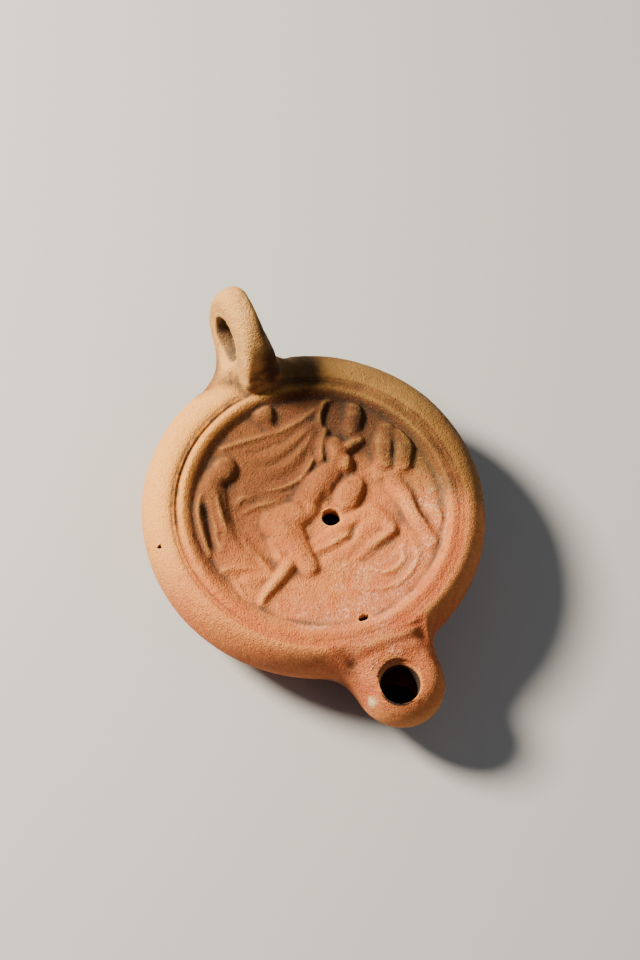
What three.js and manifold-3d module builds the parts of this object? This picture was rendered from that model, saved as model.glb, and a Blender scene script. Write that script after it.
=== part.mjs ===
// Mould-made terracotta oil lamp: round hollow body, figured discus, short
// rounded nozzle and a pierced ring handle. Millimetres, Z up. The origin is
// the centre of the base's underside, the nozzle points to -Y, the handle to +Y.
import * as THREE from 'three';
import Module from 'manifold-3d';

// body
const BODY_R = 42;
const BODY_X = 0.7;
const BODY_Y = 2.9;
const WIDEST_Z = 17;
const SHOULDER_Z = 26.7;
const BASE_R = 21;
const BASE_GROOVE_R = 17.2;
const BASE_GROOVE_WIDE = 1.4;
const BASE_GROOVE_DEEP = 0.7;
const WALL = 4.2;

// discus, its ring and the groove outside it
const DISCUS_Z = 22.4;
const DISCUS_DISH = 1.6;
const DISCUS_THICK = 3.0;
const SLOPE_R = 29.2;
// the slope down to the discus is this much wider at its worn left side
const SLOPE_EASED = 1.8;
const EASED_SIDE = THREE.MathUtils.degToRad(190);
const RING_R = 32.7;
const RING_Z = 27;
const GROOVE_R = 34.2;
const GROOVE_DEEP = 0.7;
const EDGE_R = 35.4;
// the ring is crisp at the upper left and worn down to this share opposite
const WORN = 0.2;
const CRISP_SIDE = THREE.MathUtils.degToRad(135);
const FIGURES_R = 31.2;
const FIGURES_SOFT = 0.8;
// how proud the figures stand, as a share of their drawn height
const FIGURES_PROUD = 1.05;

// nozzle
const NECK_X = 0.9;
const NOZZLE_X = 2.2;
const NOZZLE_NECK_Y = -37;
const NOZZLE_NECK_R = 11.2;
const NOZZLE_TIP_Y = -45.5;
const NOZZLE_TIP_R = 10.1;
const NOZZLE_TOP_Z = 24.6;
const NOZZLE_DROP = 0.9;
const NOZZLE_WIDEST_Z = 15.5;
const NOZZLE_EDGE = 5.0;
const NECK_FILLET = 5;
const NOZZLE_HALF_ANGLE = 20;
const BAR_GROOVES = [
  { y: -38.5, from: -9.6, to: 10.2, wide: 1.3, deep: 0.6 },
  { y: -36, from: 2, to: 11, wide: 0.6, deep: 0.4 },
];

// holes
const WICK_X = 0.2;
const WICK_Y = -47;
const WICK_R = 4.6;
const WICK_BEVEL = 0.6;
const FILL_X = 2.6;
const FILL_Y = -2.2;
const FILL_R = 2.35;
const AIR_X = -1.3;
const AIR_Y = -29.2;
const AIR_LONG = 1.45;
const AIR_SHORT = 0.95;

// handle: a plate in the YZ plane around a finger hole
const HANDLE_X = -0.05;
const HANDLE_TOP_Z = 45.4;
const HANDLE_R = 12.9;
const HOLE_Y = 47.5;
const HOLE_Z = HANDLE_TOP_Z - HANDLE_R;
const HOLE_R = 5.4;
// rim distance from the hole's centre as a share of HANDLE_R, by degrees turned up from the back
const RIM = [[0, 0.85], [30, 0.9], [58, 0.99], [88, 1], [115, 1.005], [140, 0.975], [165, 0.96], [185, 1.008],
  [205, 1.2], [228, 1.433], [250, 1.627], [268, 1.59], [286, 1.256], [305, 1.02], [330, 0.9]];
// half thickness as a share of HANDLE_HALF, by height over the hole in HANDLE_R, for its two sides
const HANDLE_HALF = 4.8;
const LEFT_SIDE = [[-1.9, 1.08], [-0.96, 1.06], [-0.42, 1.02], [0.04, 0.92], [0.58, 0.8], [1.04, 0.7]];
const RIGHT_SIDE = [[-1.9, 1.08], [-0.96, 1.18], [-0.42, 1.25], [0.27, 0.92], [0.64, 0.64], [1.04, 0.6]];
// the left side also thickens towards the back by this share
const LEFT_TAPER = 0.12;
// fillets where the plate's sides meet the body, fading out at its front
const FILLET_LEFT = 8;
const FILLET_RIGHT = 4.5;
const FILLET_FROM_Y = 36.5;
const FILLET_FULL_Y = 43;
// how boxy the plate's edge is: 2 is round, more is squarer
const EDGE_FRONT = 5;
const EDGE_BACK = 2.3;
const EDGE_HOLE = 9;

// mesh fineness
const DISCUS_STEPS = 26;
const SHOULDER_STEPS = [0, 0.35, 0.64, 0.84, 0.95, 1];
const NOZZLE_STEPS = [0, 0.12, 0.25, 0.37, 0.49, 0.6, 0.7, 0.79, 0.86, 0.92, 0.96, 0.985, 1];
const UNDER_POINTS = 76;
const UNDER_STEPS = 7;
const BASE_POINTS = 46;
const CAVITY_POINTS = 50;
const HANDLE_AROUND = 30;
const HANDLE_SECTION = 16;

const clamp = (v, lo, hi) => Math.min(Math.max(v, lo), hi);
const mix = (a, b, t) => a + (b - a) * t;
const ease = (t) => { const s = clamp(t, 0, 1); return s * s * (3 - 2 * s); };
const bell = (v, width) => Math.exp(-((v / width) ** 2));

function lookup(table, at) {
  for (let i = 1; i < table.length; i += 1) {
    const [a, va] = table[i - 1];
    const [b, vb] = table[i];
    if (at <= b) return mix(va, vb, ease(clamp((at - a) / (b - a), 0, 1)));
  }
  return table[table.length - 1][1];
}

// relief: every form is a height over the plan
const softMax = (a, b, k = 0.35) => Math.max(a, b) + Math.max(k - Math.abs(a - b), 0) ** 2 / (4 * k);

function curve(points, n = 5) {
  const first = points[0];
  const second = points[1];
  const last = points[points.length - 1];
  const before = points[points.length - 2];
  const p = [[2 * first[0] - second[0], 2 * first[1] - second[1]], ...points,
    [2 * last[0] - before[0], 2 * last[1] - before[1]]];
  const out = [];
  for (let i = 1; i < p.length - 2; i += 1) {
    for (let k = 0; k < n; k += 1) {
      const t = k / n;
      out.push([0, 1].map((c) => 0.5 * (2 * p[i][c] + (p[i + 1][c] - p[i - 1][c]) * t
        + (2 * p[i - 1][c] - 5 * p[i][c] + 4 * p[i + 1][c] - p[i + 2][c]) * t * t
        + (3 * p[i][c] - p[i - 1][c] - 3 * p[i + 1][c] + p[i + 2][c]) * t ** 3)));
    }
  }
  out.push(last);
  return out;
}

function nearest(line, x, y) {
  let best = Infinity;
  let at = 0;
  for (let i = 1; i < line.length; i += 1) {
    const [ax, ay] = line[i - 1];
    const dx = line[i][0] - ax;
    const dy = line[i][1] - ay;
    const t = clamp(((x - ax) * dx + (y - ay) * dy) / (dx * dx + dy * dy + 1e-12), 0, 1);
    const d = Math.hypot(x - ax - t * dx, y - ay - t * dy);
    if (d < best) { best = d; at = i - 1 + t; }
  }
  return [best, at / (line.length - 1)];
}

const between = (values, s) => {
  const f = s * (values.length - 1);
  const i = Math.min(Math.floor(f), values.length - 2);
  return mix(values[i], values[i + 1], f - i);
};

// a rounded form along a line, with half widths and heights at its points
const limb = (points, wide, high, edge = 0.75) => {
  const line = curve(points);
  return (x, y) => {
    const [d, s] = nearest(line, x, y);
    return between(high, s) * Math.max(1 - (d / between(wide, s)) ** 2, 0) ** edge;
  };
};

// a rounded oval form, turned anticlockwise by degrees
const mound = (cx, cy, rx, ry, turn, high, edge = 0.6) => {
  const c = Math.cos(THREE.MathUtils.degToRad(turn));
  const s = Math.sin(THREE.MathUtils.degToRad(turn));
  return (x, y) => {
    const u = ((x - cx) * c + (y - cy) * s) / rx;
    const v = (-(x - cx) * s + (y - cy) * c) / ry;
    return high * Math.max(1 - u * u - v * v, 0) ** edge;
  };
};

// a soft groove along a line, fading at its ends
const cut = (points, wide, deep) => {
  const line = curve(points);
  return (x, y) => {
    const [d, s] = nearest(line, x, y);
    return deep * clamp(Math.min(s, 1 - s) / 0.2, 0.25, 1) * bell(d, wide);
  };
};

const figure = (forms, cuts) => (x, y) => forms.reduce((h, form) => softMax(h, form(x, y)), 0)
  - cuts.reduce((d, groove) => d + groove(x, y), 0);

// cloth billowing over the group
const VEIL = figure([
  limb([[-14, 19], [-7, 17.5], [0, 18], [7, 20.5]], [5.5, 6.5, 6, 3.5], [0.9, 1.1, 1.2, 1.2], 0.4),
  limb([[-13, 12.4], [-6, 12.8], [2, 14.5]], [3.6, 4.4, 3.6], [0.8, 0.9, 1], 0.45),
  limb([[-15, 23.8], [-9, 23.6], [-2, 23], [4, 23.4], [10, 24.8], [14, 26]],
    [0.9, 1.3, 1.4, 1.5, 1.4, 1], [1.2, 1.5, 1.4, 1.5, 1.6, 1.3]),
  limb([[-12, 18.6], [-6, 17.6], [0, 18.4], [5, 20.2], [9.5, 21.6]],
    [1, 1.6, 1.7, 1.4, 1], [1.1, 1.3, 1.35, 1.4, 1.3]),
  limb([[-8, 14.4], [-3, 14.2], [2, 16], [7.5, 19.6]], [1, 1.5, 1.4, 1], [1, 1.25, 1.4, 1.4]),
  limb([[-12, 10.4], [-6, 9.3], [-1, 9.6], [2.2, 11.4], [4.6, 13.4]],
    [0.6, 0.9, 1, 1, 0.8], [0.9, 1.3, 1.5, 1.6, 1.5]),
], [
  cut([[-11, 20.6], [-5, 20], [1, 20.8], [7, 22.4]], 0.7, 0.5),
  cut([[-9, 16], [-3, 15.8], [3, 18], [7, 20.4]], 0.6, 0.5),
  cut([[-8, 12], [-3, 11.8], [1.6, 13.4], [5.4, 16.6]], 0.6, 0.5),
]);

// small bust above the cloth
const BUST = figure([
  mound(-1.9, 28.8, 2.9, 3.5, 15, 2.4, 0.5),
  limb([[-2, 26.6], [-1.8, 24.6]], [1.8, 1.6], [1.5, 1.1]),
  limb([[-8.2, 24.6], [-5, 25.4], [-2.6, 25.2]], [0.6, 0.9, 1.2], [0.4, 0.7, 1.1]),
], [
  cut([[-4.6, 26.8], [-4, 25.4], [-2.6, 24.6]], 0.4, 0.6),
  cut([[1.2, 29.4], [0.2, 26.8]], 0.6, 0.4),
]);

// draped attendant stooping at the left
const ATTENDANT = figure([
  limb([[-22, 14], [-24.2, 8], [-24.4, 2], [-23, -4]], [4, 4.6, 5, 5.4], [2, 2.1, 1.9, 1.4], 0.5),
  limb([[-22.5, -2], [-21, -8.5]], [5.2, 4.2], [1.3, 1.2], 0.45),
  mound(-16.8, 18.4, 3.9, 3.3, 35, 2.9, 0.45),
  limb([[-19, 17.6], [-21.6, 14.8], [-23, 11]], [2.8, 3.2, 3.3], [2.3, 2.5, 2.4], 0.55),
  limb([[-24.5, 14.2], [-27.2, 10], [-28.4, 4], [-28.8, -1]], [1.5, 1.5, 1.3, 1], [2.2, 2.7, 2.3, 1.5]),
  limb([[-21.2, 13.6], [-22.4, 8], [-22.9, 3]], [1.6, 1.7, 1.5], [2.6, 2.8, 2.1]),
  limb([[-28.6, -6.3], [-26.6, -5.8], [-23, -6.9], [-19.6, -8.4]], [0.7, 1.1, 1.1, 0.9], [0.7, 1.5, 1.6, 1.4]),
  limb([[-19.2, -3], [-17.9, -7], [-17.3, -10.6]], [1.6, 1.7, 1.6], [1.2, 1.4, 1.3]),
  limb([[-22.5, -9], [-18, -11]], [1.6, 1.2], [1.2, 1.1]),
  limb([[-25.2, -9.5], [-25.2, -13], [-23.8, -15.8]], [0.9, 1, 1], [0.7, 1, 0.9]),
  limb([[-17.4, 9.2], [-15.6, 10.2], [-13.2, 9.8]], [1.2, 1.2, 1], [1.1, 1.3, 1]),
  limb([[-16.4, 6.6], [-12.5, 7], [-8, 6.4]], [0.8, 1.1, 0.9], [0.9, 1.1, 0.9]),
], [
  cut([[-24.4, 12.4], [-25.6, 7.5], [-26.8, 2], [-27, -1.5]], 0.75, 1.4),
  cut([[-24.4, 3.4], [-25, 0.6]], 0.6, 0.6),
  cut([[-20, 8], [-20.6, 2], [-20, -4]], 0.7, 0.4),
  cut([[-26, -8], [-22, -8.6], [-19.4, -10.6]], 0.8, 0.4),
]);

// kneeling figure in the middle, leaning to the upper right
const KNEELING = figure([
  limb([[-1.2, 3.8], [2.8, 6.4], [7, 8.6]], [3.7, 3.9, 3.2], [2, 2.4, 2.1], 0.5),
  mound(10.7, 13, 4.3, 3, 82, 2.9, 0.45),
  mound(11.4, 9.4, 2.5, 2.7, 0, 2.7, 0.5),
  limb([[12, 12.8], [14.4, 13.1], [17, 13.4]], [1.9, 1.7, 1.4], [2.5, 2.5, 1.9], 0.5),
  limb([[-10, 0.8], [-5.6, 1.4], [-1.5, 2]], [4.6, 4, 2.8], [2.2, 2.4, 1.9], 0.5),
  limb([[-9.2, -0.5], [-8.6, -6.5], [-7.7, -12.2]], [4.8, 3.8, 2.6], [2.6, 2.5, 2], 0.5),
  limb([[-12.6, -3], [-13, -7.8]], [2.2, 2.2], [1.4, 1.6]),
  limb([[-11.6, -9.6], [-16, -12.6], [-20.2, -15], [-22, -16.6]], [2.3, 1.9, 1.5, 1.2], [2.1, 2, 1.7, 1.4]),
  limb([[-22.2, -16.6], [-24.6, -15.2]], [0.9, 0.8], [1.1, 0.7]),
  limb([[10.1, 19], [8.4, 16.4], [6.4, 12.8]], [1.5, 1.9, 1.6], [1.8, 2, 1.7]),
], [
  cut([[-3.6, 4.6], [-2.6, 2.6], [-2.6, 0.6]], 0.7, 0.5),
  cut([[8.6, 15.6], [8.2, 13], [7.2, 11]], 0.5, 0.8),
  cut([[16.6, 10.6], [14.7, 9], [12.4, 6.8]], 1.4, 1.1),
  cut([[0.2, 0.6], [2.4, 2.4], [4.4, 4.6]], 1.1, 0.7),
]);

// companion behind, with an arm raised over the cloth's end
const COMPANION = figure([
  limb([[19.8, 23.2], [18.5, 20], [16.4, 16.6]], [1.9, 2.5, 2.2], [1.6, 2.6, 1.9], 0.5),
  limb([[17, 15.4], [18.4, 13.4]], [2.6, 2], [1, 0.8]),
  limb([[9.4, 19.6], [10.4, 22.8], [12.6, 25.4], [15.2, 26.2], [17.4, 25.2]],
    [1.1, 1.3, 1.3, 1.1, 0.8], [1.5, 2, 1.9, 1.4, 0.6]),
], [
  cut([[13.8, 23.8], [13, 21.4], [12.3, 18.8]], 1.5, 0.7),
  cut([[17.6, 24.2], [15.9, 21], [14.2, 17.4]], 0.5, 0.5),
  cut([[21.8, 21.4], [22.2, 18.2], [23.2, 15.8]], 0.8, 1.2),
]);

// figure lying across the lower part with a knee drawn up
const RECLINING = figure([
  mound(9.3, 1.6, 5.2, 3.6, 36, 2.4, 0.4),
  limb([[-4.5, -7.6], [1.5, -6.6], [7, -5.2], [12.4, -4.6]], [2.2, 2.4, 2.6, 2.4], [1, 1.5, 1.5, 1.2], 0.6),
  limb([[-4, -9], [0, -8.8], [3.8, -8.1]], [1.3, 1.6, 1.3], [1.3, 1.9, 1.8]),
  limb([[-3, -12.6], [3, -11.4], [8.6, -8.8], [12.4, -7.4]], [2.4, 2.8, 3.6, 3.4], [0.9, 1.4, 1.7, 1.6], 0.55),
  limb([[14.2, -10.4], [13, -6]], [2.4, 2.4], [2, 1.3], 0.55),
  limb([[14.4, -11.4], [8.6, -12.6], [4.2, -14.4], [-4, -15.2]], [1.5, 1.7, 1.6, 1.4], [2.1, 1.7, 1.1, 0.5], 0.55),
], [
  cut([[2.4, -9.9], [4.8, -9.3], [6.2, -7.2], [8.4, -6.2]], 0.5, 0.8),
  cut([[4.2, -16.2], [6.6, -14.9]], 0.4, 0.6),
  cut([[9.4, -2.4], [13, 0.6], [15.3, 3.8]], 0.65, 0.8),
]);

// figure at the right: a shape of two lobes above, a leg below
const WINGED = figure([
  limb([[24.4, 13.6], [22, 10], [20.1, 5.8]], [2.2, 2.9, 2.6], [1.6, 2.6, 2.1], 0.4),
  limb([[26.5, 11.2], [26.1, 7.6], [24.2, 3.8]], [1.9, 2.8, 2.5], [1.5, 2.4, 1.9], 0.4),
  limb([[18.2, 7], [17.8, 3.8], [20.4, 2.2], [24, 2.8]], [1.8, 2, 1.8, 1.6], [0.8, 1.1, 1.2, 1]),
  limb([[20, 0], [21, -4.6], [21, -10], [22.2, -17.6]], [2.6, 2.3, 2.1, 1.8], [1.4, 2.2, 2.1, 1.4], 0.45),
  mound(26.2, -11.8, 2, 4.4, 8, 1.4, 0.45),
], [
  cut([[24.9, 12.6], [24.2, 9], [22.4, 5.2]], 0.5, 0.9),
  cut([[16.2, 1.9], [18.8, 1.5]], 0.45, 0.5),
  cut([[23.9, -4.2], [23.1, -8.6], [23.7, -12], [24.6, -16]], 0.5, 1.2),
  cut([[18, 14.6], [17.4, 11], [18.2, 7.4]], 0.7, 0.5),
]);

// faint ledges of the couch under the group
const COUCH = figure([
  limb([[-14, -17.6], [-6, -17.2], [2, -17], [10, -17.8]], [2, 2.4, 2.4, 2], [0.3, 0.5, 0.5, 0.3]),
  limb([[-16, -21], [-6, -22.6], [4, -22.4], [14, -19.4]], [2.2, 2.6, 2.6, 2], [0.25, 0.4, 0.45, 0.3]),
  limb([[5, -18.4], [11, -18], [16.4, -14.6], [18.4, -9]], [0.8, 1, 1, 0.8], [0.3, 0.45, 0.45, 0.3]),
], [
  cut([[-3.4, -21], [-1.4, -23.5], [0, -27.4]], 0.4, 0.3),
  cut([[-13.6, 16.6], [-13, 14.4], [-14, 12.6]], 1.6, 0.7),
]);

const FIGURES = [VEIL, BUST, ATTENDANT, COMPANION, WINGED, RECLINING, KNEELING, COUCH];

// the figures' height, evened over a small patch as the worn clay is
function relief(x, y) {
  const r = Math.hypot(x, y);
  if (r > FIGURES_R) return 0;
  // the figures above are drawn for a field of radius 31.2
  const unit = FIGURES_R / 31.2;
  let sum = 0;
  for (let i = 0; i < 7; i += 1) {
    const dx = i ? FIGURES_SOFT * Math.cos(i * Math.PI / 3) : 0;
    const dy = i ? FIGURES_SOFT * Math.sin(i * Math.PI / 3) : 0;
    sum += FIGURES.reduce((h, form) => softMax(h, form((x + dx) / unit, (y + dy) / unit)), 0);
  }
  return FIGURES_PROUD * unit * sum / 7 * ease((FIGURES_R - r) / 1.5);
}

const nozzleTop = (y) => NOZZLE_TOP_Z - NOZZLE_DROP * (y - NOZZLE_NECK_Y) / (NOZZLE_TIP_Y - NOZZLE_NECK_Y);

// height of the top surface inside the shoulder's inner edge
function discusHeight(x, y) {
  const r = Math.hypot(x, y);
  const floor = DISCUS_Z + DISCUS_DISH * Math.min(r / SLOPE_R, 1) ** 2;
  const towards = (side) => 0.5 + 0.5 * Math.cos(Math.atan2(y, x) - side);
  const foot = SLOPE_R - SLOPE_EASED * towards(EASED_SIDE) ** 2;
  const rise = mix(floor, SHOULDER_Z, ease((r - foot) / (RING_R - 0.3 - foot)));
  const crisp = mix(WORN, 1, towards(CRISP_SIDE) ** 3);
  return softMax(rise, floor + relief(x, y)) + crisp * ((RING_Z - SHOULDER_Z) * bell(r - RING_R, 0.7)
    - GROOVE_DEEP * bell(r - GROOVE_R, 0.55));
}

// signed distance to the outline seen from above, negative inside
function planDistance(x, y) {
  const body = Math.hypot(x - BODY_X, y - BODY_Y) - BODY_R;
  const t = clamp((NOZZLE_NECK_Y - y) / (NOZZLE_NECK_Y - NOZZLE_TIP_Y), 0, 1);
  const nozzle = Math.hypot(x - mix(NECK_X, NOZZLE_X, t), y - mix(NOZZLE_NECK_Y, NOZZLE_TIP_Y, t))
    - mix(NOZZLE_NECK_R, NOZZLE_TIP_R, t);
  const k = NECK_FILLET;
  return Math.min(body, nozzle) - Math.max(k - Math.abs(body - nozzle), 0) ** 2 / (4 * k);
}

// the outline inset by a distance, as a function of the share of a turn from the back
function outline(inset) {
  const reach = (angle) => {
    let near = 10;
    let far = 80;
    for (let i = 0; i < 40; i += 1) {
      const r = (near + far) / 2;
      if (planDistance(r * Math.sin(angle), r * Math.cos(angle)) + inset < 0) near = r; else far = r;
    }
    return [near * Math.sin(angle), near * Math.cos(angle)];
  };
  const half = THREE.MathUtils.degToRad(NOZZLE_HALF_ANGLE);
  const start = Math.PI - half;
  const fine = Array.from({ length: 241 }, (_, i) => reach(start + 2 * half * i / 240));
  const length = [0];
  for (let i = 1; i < fine.length; i += 1) {
    length.push(length[i - 1] + Math.hypot(fine[i][0] - fine[i - 1][0], fine[i][1] - fine[i - 1][1]));
  }
  return (u) => {
    const angle = 2 * Math.PI * u;
    const share = (angle - start) / (2 * half);
    if (share <= 0 || share >= 1) return reach(angle);
    const want = share * length[240];
    const i = length.findIndex((l) => l >= want);
    const t = (want - length[i - 1]) / (length[i] - length[i - 1]);
    return [mix(fine[i - 1][0], fine[i][0], t), mix(fine[i - 1][1], fine[i][1], t)];
  };
}

// how far a share of a turn lies inside the nozzle, 0 on the body to 1
const nozzleShare = (u) => {
  const off = Math.abs(u - 0.5) * 360;
  return ease((NOZZLE_HALF_ANGLE - off) / (NOZZLE_HALF_ANGLE * 0.45));
};

class Shell {
  constructor() { this.points = []; this.faces = []; }

  add(x, y, z) { this.points.push([x, y, z]); return this.points.length - 1; }

  // joins two rows of points running the same way, each with rising shares 0..1
  zip(a, sharesA, b, sharesB, flip = false) {
    let i = 0;
    let j = 0;
    while (i < a.length - 1 || j < b.length - 1) {
      const stepA = j >= b.length - 1 || (i < a.length - 1 && sharesA[i + 1] + sharesA[i] <= sharesB[j + 1] + sharesB[j]);
      const face = stepA ? [a[i], a[i + 1], b[j]] : [a[i], b[j + 1], b[j]];
      this.faces.push(flip ? [face[0], face[2], face[1]] : face);
      if (stepA) i += 1; else j += 1;
    }
  }

  // a closed ring of n points and the ring's shares of a turn
  ring(n, place) {
    const ids = Array.from({ length: n }, (_, i) => this.add(...place(i / n)));
    ids.push(ids[0]);
    return { ids, shares: Array.from({ length: n + 1 }, (_, i) => i / n) };
  }

  join(outer, inner, flip = false) { this.zip(inner.ids, inner.shares, outer.ids, outer.shares, flip); }

  cap(ring, centre, flip = false) {
    for (let i = 0; i < ring.ids.length - 1; i += 1) {
      const face = [ring.ids[i + 1], ring.ids[i], centre];
      this.faces.push(flip ? [face[1], face[0], face[2]] : face);
    }
  }
}

function outerShell() {
  const shell = new Shell();
  const edge = outline(0);
  const onCircle = (r, u) => [r * Math.sin(2 * Math.PI * u), r * Math.cos(2 * Math.PI * u)];
  // discus: rings of 6, 12, 18 ... points
  const centre = shell.add(0, 0, discusHeight(0, 0));
  let inner = null;
  for (let k = 1; k <= DISCUS_STEPS; k += 1) {
    const ring = shell.ring(6 * k, (u) => {
      const [x, y] = onCircle(EDGE_R * k / DISCUS_STEPS, u);
      return [x, y, discusHeight(x, y)];
    });
    if (inner) shell.join(ring, inner); else shell.cap(ring, centre);
    inner = ring;
  }
  // shoulder and nozzle top: columns from the discus edge out to the outline
  const n = inner.ids.length - 1;
  const columns = [];
  for (let i = 0; i < n; i += 1) {
    const u = i / n;
    const m = nozzleShare(u);
    const steps = m > 0 ? NOZZLE_STEPS : SHOULDER_STEPS;
    const [ax, ay] = onCircle(EDGE_R, u);
    const [bx, by] = edge(u);
    const widest = mix(WIDEST_Z, NOZZLE_WIDEST_Z, m);
    const ids = steps.map((t) => {
      if (t === 0) return inner.ids[i];
      const x = mix(ax, bx, t);
      const y = mix(ay, by, t);
      const rolled = mix(t, 1 - clamp(-planDistance(x, y) / NOZZLE_EDGE, 0, 1), m);
      const flat = mix(SHOULDER_Z, nozzleTop(y), m * ease(t * 2.2));
      return shell.add(x, y, mix(widest, flat, Math.sqrt(Math.max(1 - rolled ** 2, 0))));
    });
    columns.push({ ids, steps });
  }
  for (let i = 0; i < n; i += 1) {
    const a = columns[i];
    const b = columns[(i + 1) % n];
    shell.zip(a.ids, a.steps, b.ids, b.steps, true);
  }
  // underside: rings from the outline in to the base
  const last = columns.map((c) => c.ids[c.ids.length - 1]);
  let outer = { ids: [...last, last[0]], shares: Array.from({ length: n + 1 }, (_, i) => i / n) };
  for (let k = 1; k <= UNDER_STEPS; k += 1) {
    const turn = Math.PI / 2 * k / UNDER_STEPS;
    const points = k === UNDER_STEPS ? BASE_POINTS : UNDER_POINTS;
    const ring = shell.ring(points, (u) => {
      const [x, y] = edge(u);
      const [bx, by] = onCircle(BASE_R, u);
      const s = 1 - Math.cos(turn);
      return [mix(x, bx, s), mix(y, by, s), mix(WIDEST_Z, NOZZLE_WIDEST_Z, nozzleShare(u)) * (1 - Math.sin(turn))];
    });
    shell.join(outer, ring, true);
    outer = ring;
  }
  const half = BASE_GROOVE_WIDE / 2;
  for (const [r, z] of [[BASE_GROOVE_R + half, 0], [BASE_GROOVE_R, BASE_GROOVE_DEEP], [BASE_GROOVE_R - half, 0]]) {
    const ring = shell.ring(BASE_POINTS, (u) => [...onCircle(r, u), z]);
    shell.join(outer, ring, true);
    outer = ring;
  }
  shell.cap(outer, shell.add(0, 0, 0), true);
  return shell;
}

// the hollow: oil chamber and the passage out under the wick hole
function cavityShell() {
  const shell = new Shell();
  const edge = outline(WALL);
  const middle = WIDEST_Z - 1;
  const roof = DISCUS_Z - DISCUS_THICK;
  const top = (x, y, m) => {
    const away = clamp((-planDistance(x, y) - WALL) / 6, 0, 1);
    const flat = mix(roof, SHOULDER_Z - WALL - 0.8, ease((Math.hypot(x, y) - SLOPE_R) / 4) * (1 - m));
    return mix(mix(middle, NOZZLE_WIDEST_Z - 1, m), flat, Math.sqrt(1 - (1 - away) ** 2));
  };
  const centre = shell.add(0, 0, roof);
  let outer = null;
  for (const t of [0.45, 0.8, 0.87, 0.93, 0.975, 1]) {
    const ring = shell.ring(CAVITY_POINTS, (u) => {
      const [x, y] = edge(u).map((v) => v * t);
      return [x, y, top(x, y, nozzleShare(u) * ease((t - 0.6) * 4))];
    });
    if (outer) shell.join(ring, outer); else shell.cap(ring, centre);
    outer = ring;
  }
  for (let k = 1; k <= 5; k += 1) {
    const turn = Math.PI / 2 * k / 5;
    const ring = shell.ring(CAVITY_POINTS, (u) => {
      const [x, y] = edge(u);
      const r = BASE_R - WALL * 0.6;
      const s = 1 - Math.cos(turn);
      const from = mix(middle, NOZZLE_WIDEST_Z - 1, nozzleShare(u));
      return [mix(x, r * Math.sin(2 * Math.PI * u), s), mix(y, r * Math.cos(2 * Math.PI * u), s),
        mix(from, WALL, Math.sin(turn))];
    });
    shell.join(outer, ring, true);
    outer = ring;
  }
  shell.cap(outer, shell.add(0, 0, WALL), true);
  return shell;
}

// distance outside the round body, from the distance to its axis and the height
function offBody(out, z) {
  const upper = z > WIDEST_Z;
  const centre = upper ? EDGE_R - BODY_Y : BASE_R;
  const wide = BODY_R - centre;
  const tall = upper ? SHOULDER_Z - WIDEST_Z : WIDEST_Z;
  const u = Math.max(out - centre, 0) / wide;
  const v = (z - WIDEST_Z) / tall;
  const n = Math.hypot(u, v);
  return n > 1 ? (n - 1) * n / Math.hypot(u / wide, v / tall) : 0;
}

// the plate's half thickness with the fillet into the body added
function filleted(plate, y, z, size) {
  const radius = size * ease((y - FILLET_FROM_Y) / (FILLET_FULL_Y - FILLET_FROM_Y));
  let half = plate;
  for (let i = 0; i < 5; i += 1) {
    const off = Math.min(offBody(Math.hypot(half, y - BODY_Y), z), radius);
    half = mix(half, plate + radius - Math.sqrt(radius ** 2 - (radius - off) ** 2), 0.6);
  }
  return half;
}

// a smooth curve through rows of angle and value that close on themselves
function closedCurve(rows, degrees) {
  const row = (k) => {
    const turns = Math.floor(k / rows.length);
    const [angle, value] = rows[k - turns * rows.length];
    return [angle + 360 * turns, value];
  };
  const later = rows.findIndex(([angle]) => angle > degrees);
  const i = later < 0 ? rows.length - 1 : later - 1;
  const [before, from, to, after] = [row(i - 1), row(i), row(i + 1), row(i + 2)];
  const span = to[0] - from[0];
  const t = (degrees - from[0]) / span;
  const leave = (to[1] - before[1]) / (to[0] - before[0]) * span;
  const arrive = (after[1] - from[1]) / (after[0] - from[0]) * span;
  return mix(from[1], to[1], t * t * (3 - 2 * t)) + t * (1 - t) * ((1 - t) * leave - t * arrive);
}

function handleShell() {
  const shell = new Shell();
  const rings = [];
  for (let i = 0; i < HANDLE_AROUND; i += 1) {
    const degrees = 360 * i / HANDLE_AROUND;
    const a = THREE.MathUtils.degToRad(degrees);
    const outer = HANDLE_R * closedCurve(RIM, degrees);
    const middle = (HOLE_R + outer) / 2;
    const front = ease(1 - Math.abs(degrees - 175) / 75);
    rings.push(Array.from({ length: HANDLE_SECTION }, (_, j) => {
      const b = 2 * Math.PI * j / HANDLE_SECTION;
      const c = Math.cos(b);
      const n = c > 0 ? mix(EDGE_BACK, EDGE_FRONT, front) : EDGE_HOLE;
      const reach = (Math.abs(c) ** n + Math.abs(Math.sin(b)) ** n) ** (-1 / n);
      const r = middle + (outer - HOLE_R) / 2 * reach * c;
      const y = HOLE_Y + r * Math.cos(a);
      const z = HOLE_Z + r * Math.sin(a);
      const right = j < HANDLE_SECTION / 2;
      const taper = right ? 1 : 1 + LEFT_TAPER * clamp((y - HOLE_Y) / (HOLE_Y - EDGE_R), -1, 1);
      const side = lookup(right ? RIGHT_SIDE : LEFT_SIDE, (z - HOLE_Z) / HANDLE_R);
      const half = filleted(HANDLE_HALF * taper * side, y, z, right ? FILLET_RIGHT : FILLET_LEFT);
      return shell.add(HANDLE_X + half * reach * Math.sin(b), y, z);
    }));
  }
  for (let i = 0; i < HANDLE_AROUND; i += 1) {
    const here = rings[i];
    const next = rings[(i + 1) % HANDLE_AROUND];
    for (let j = 0; j < HANDLE_SECTION; j += 1) {
      const k = (j + 1) % HANDLE_SECTION;
      shell.faces.push([here[j], next[k], here[k]], [here[j], next[j], next[k]]);
    }
  }
  return shell;
}

const wasm = await Module();
wasm.setup();

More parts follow.
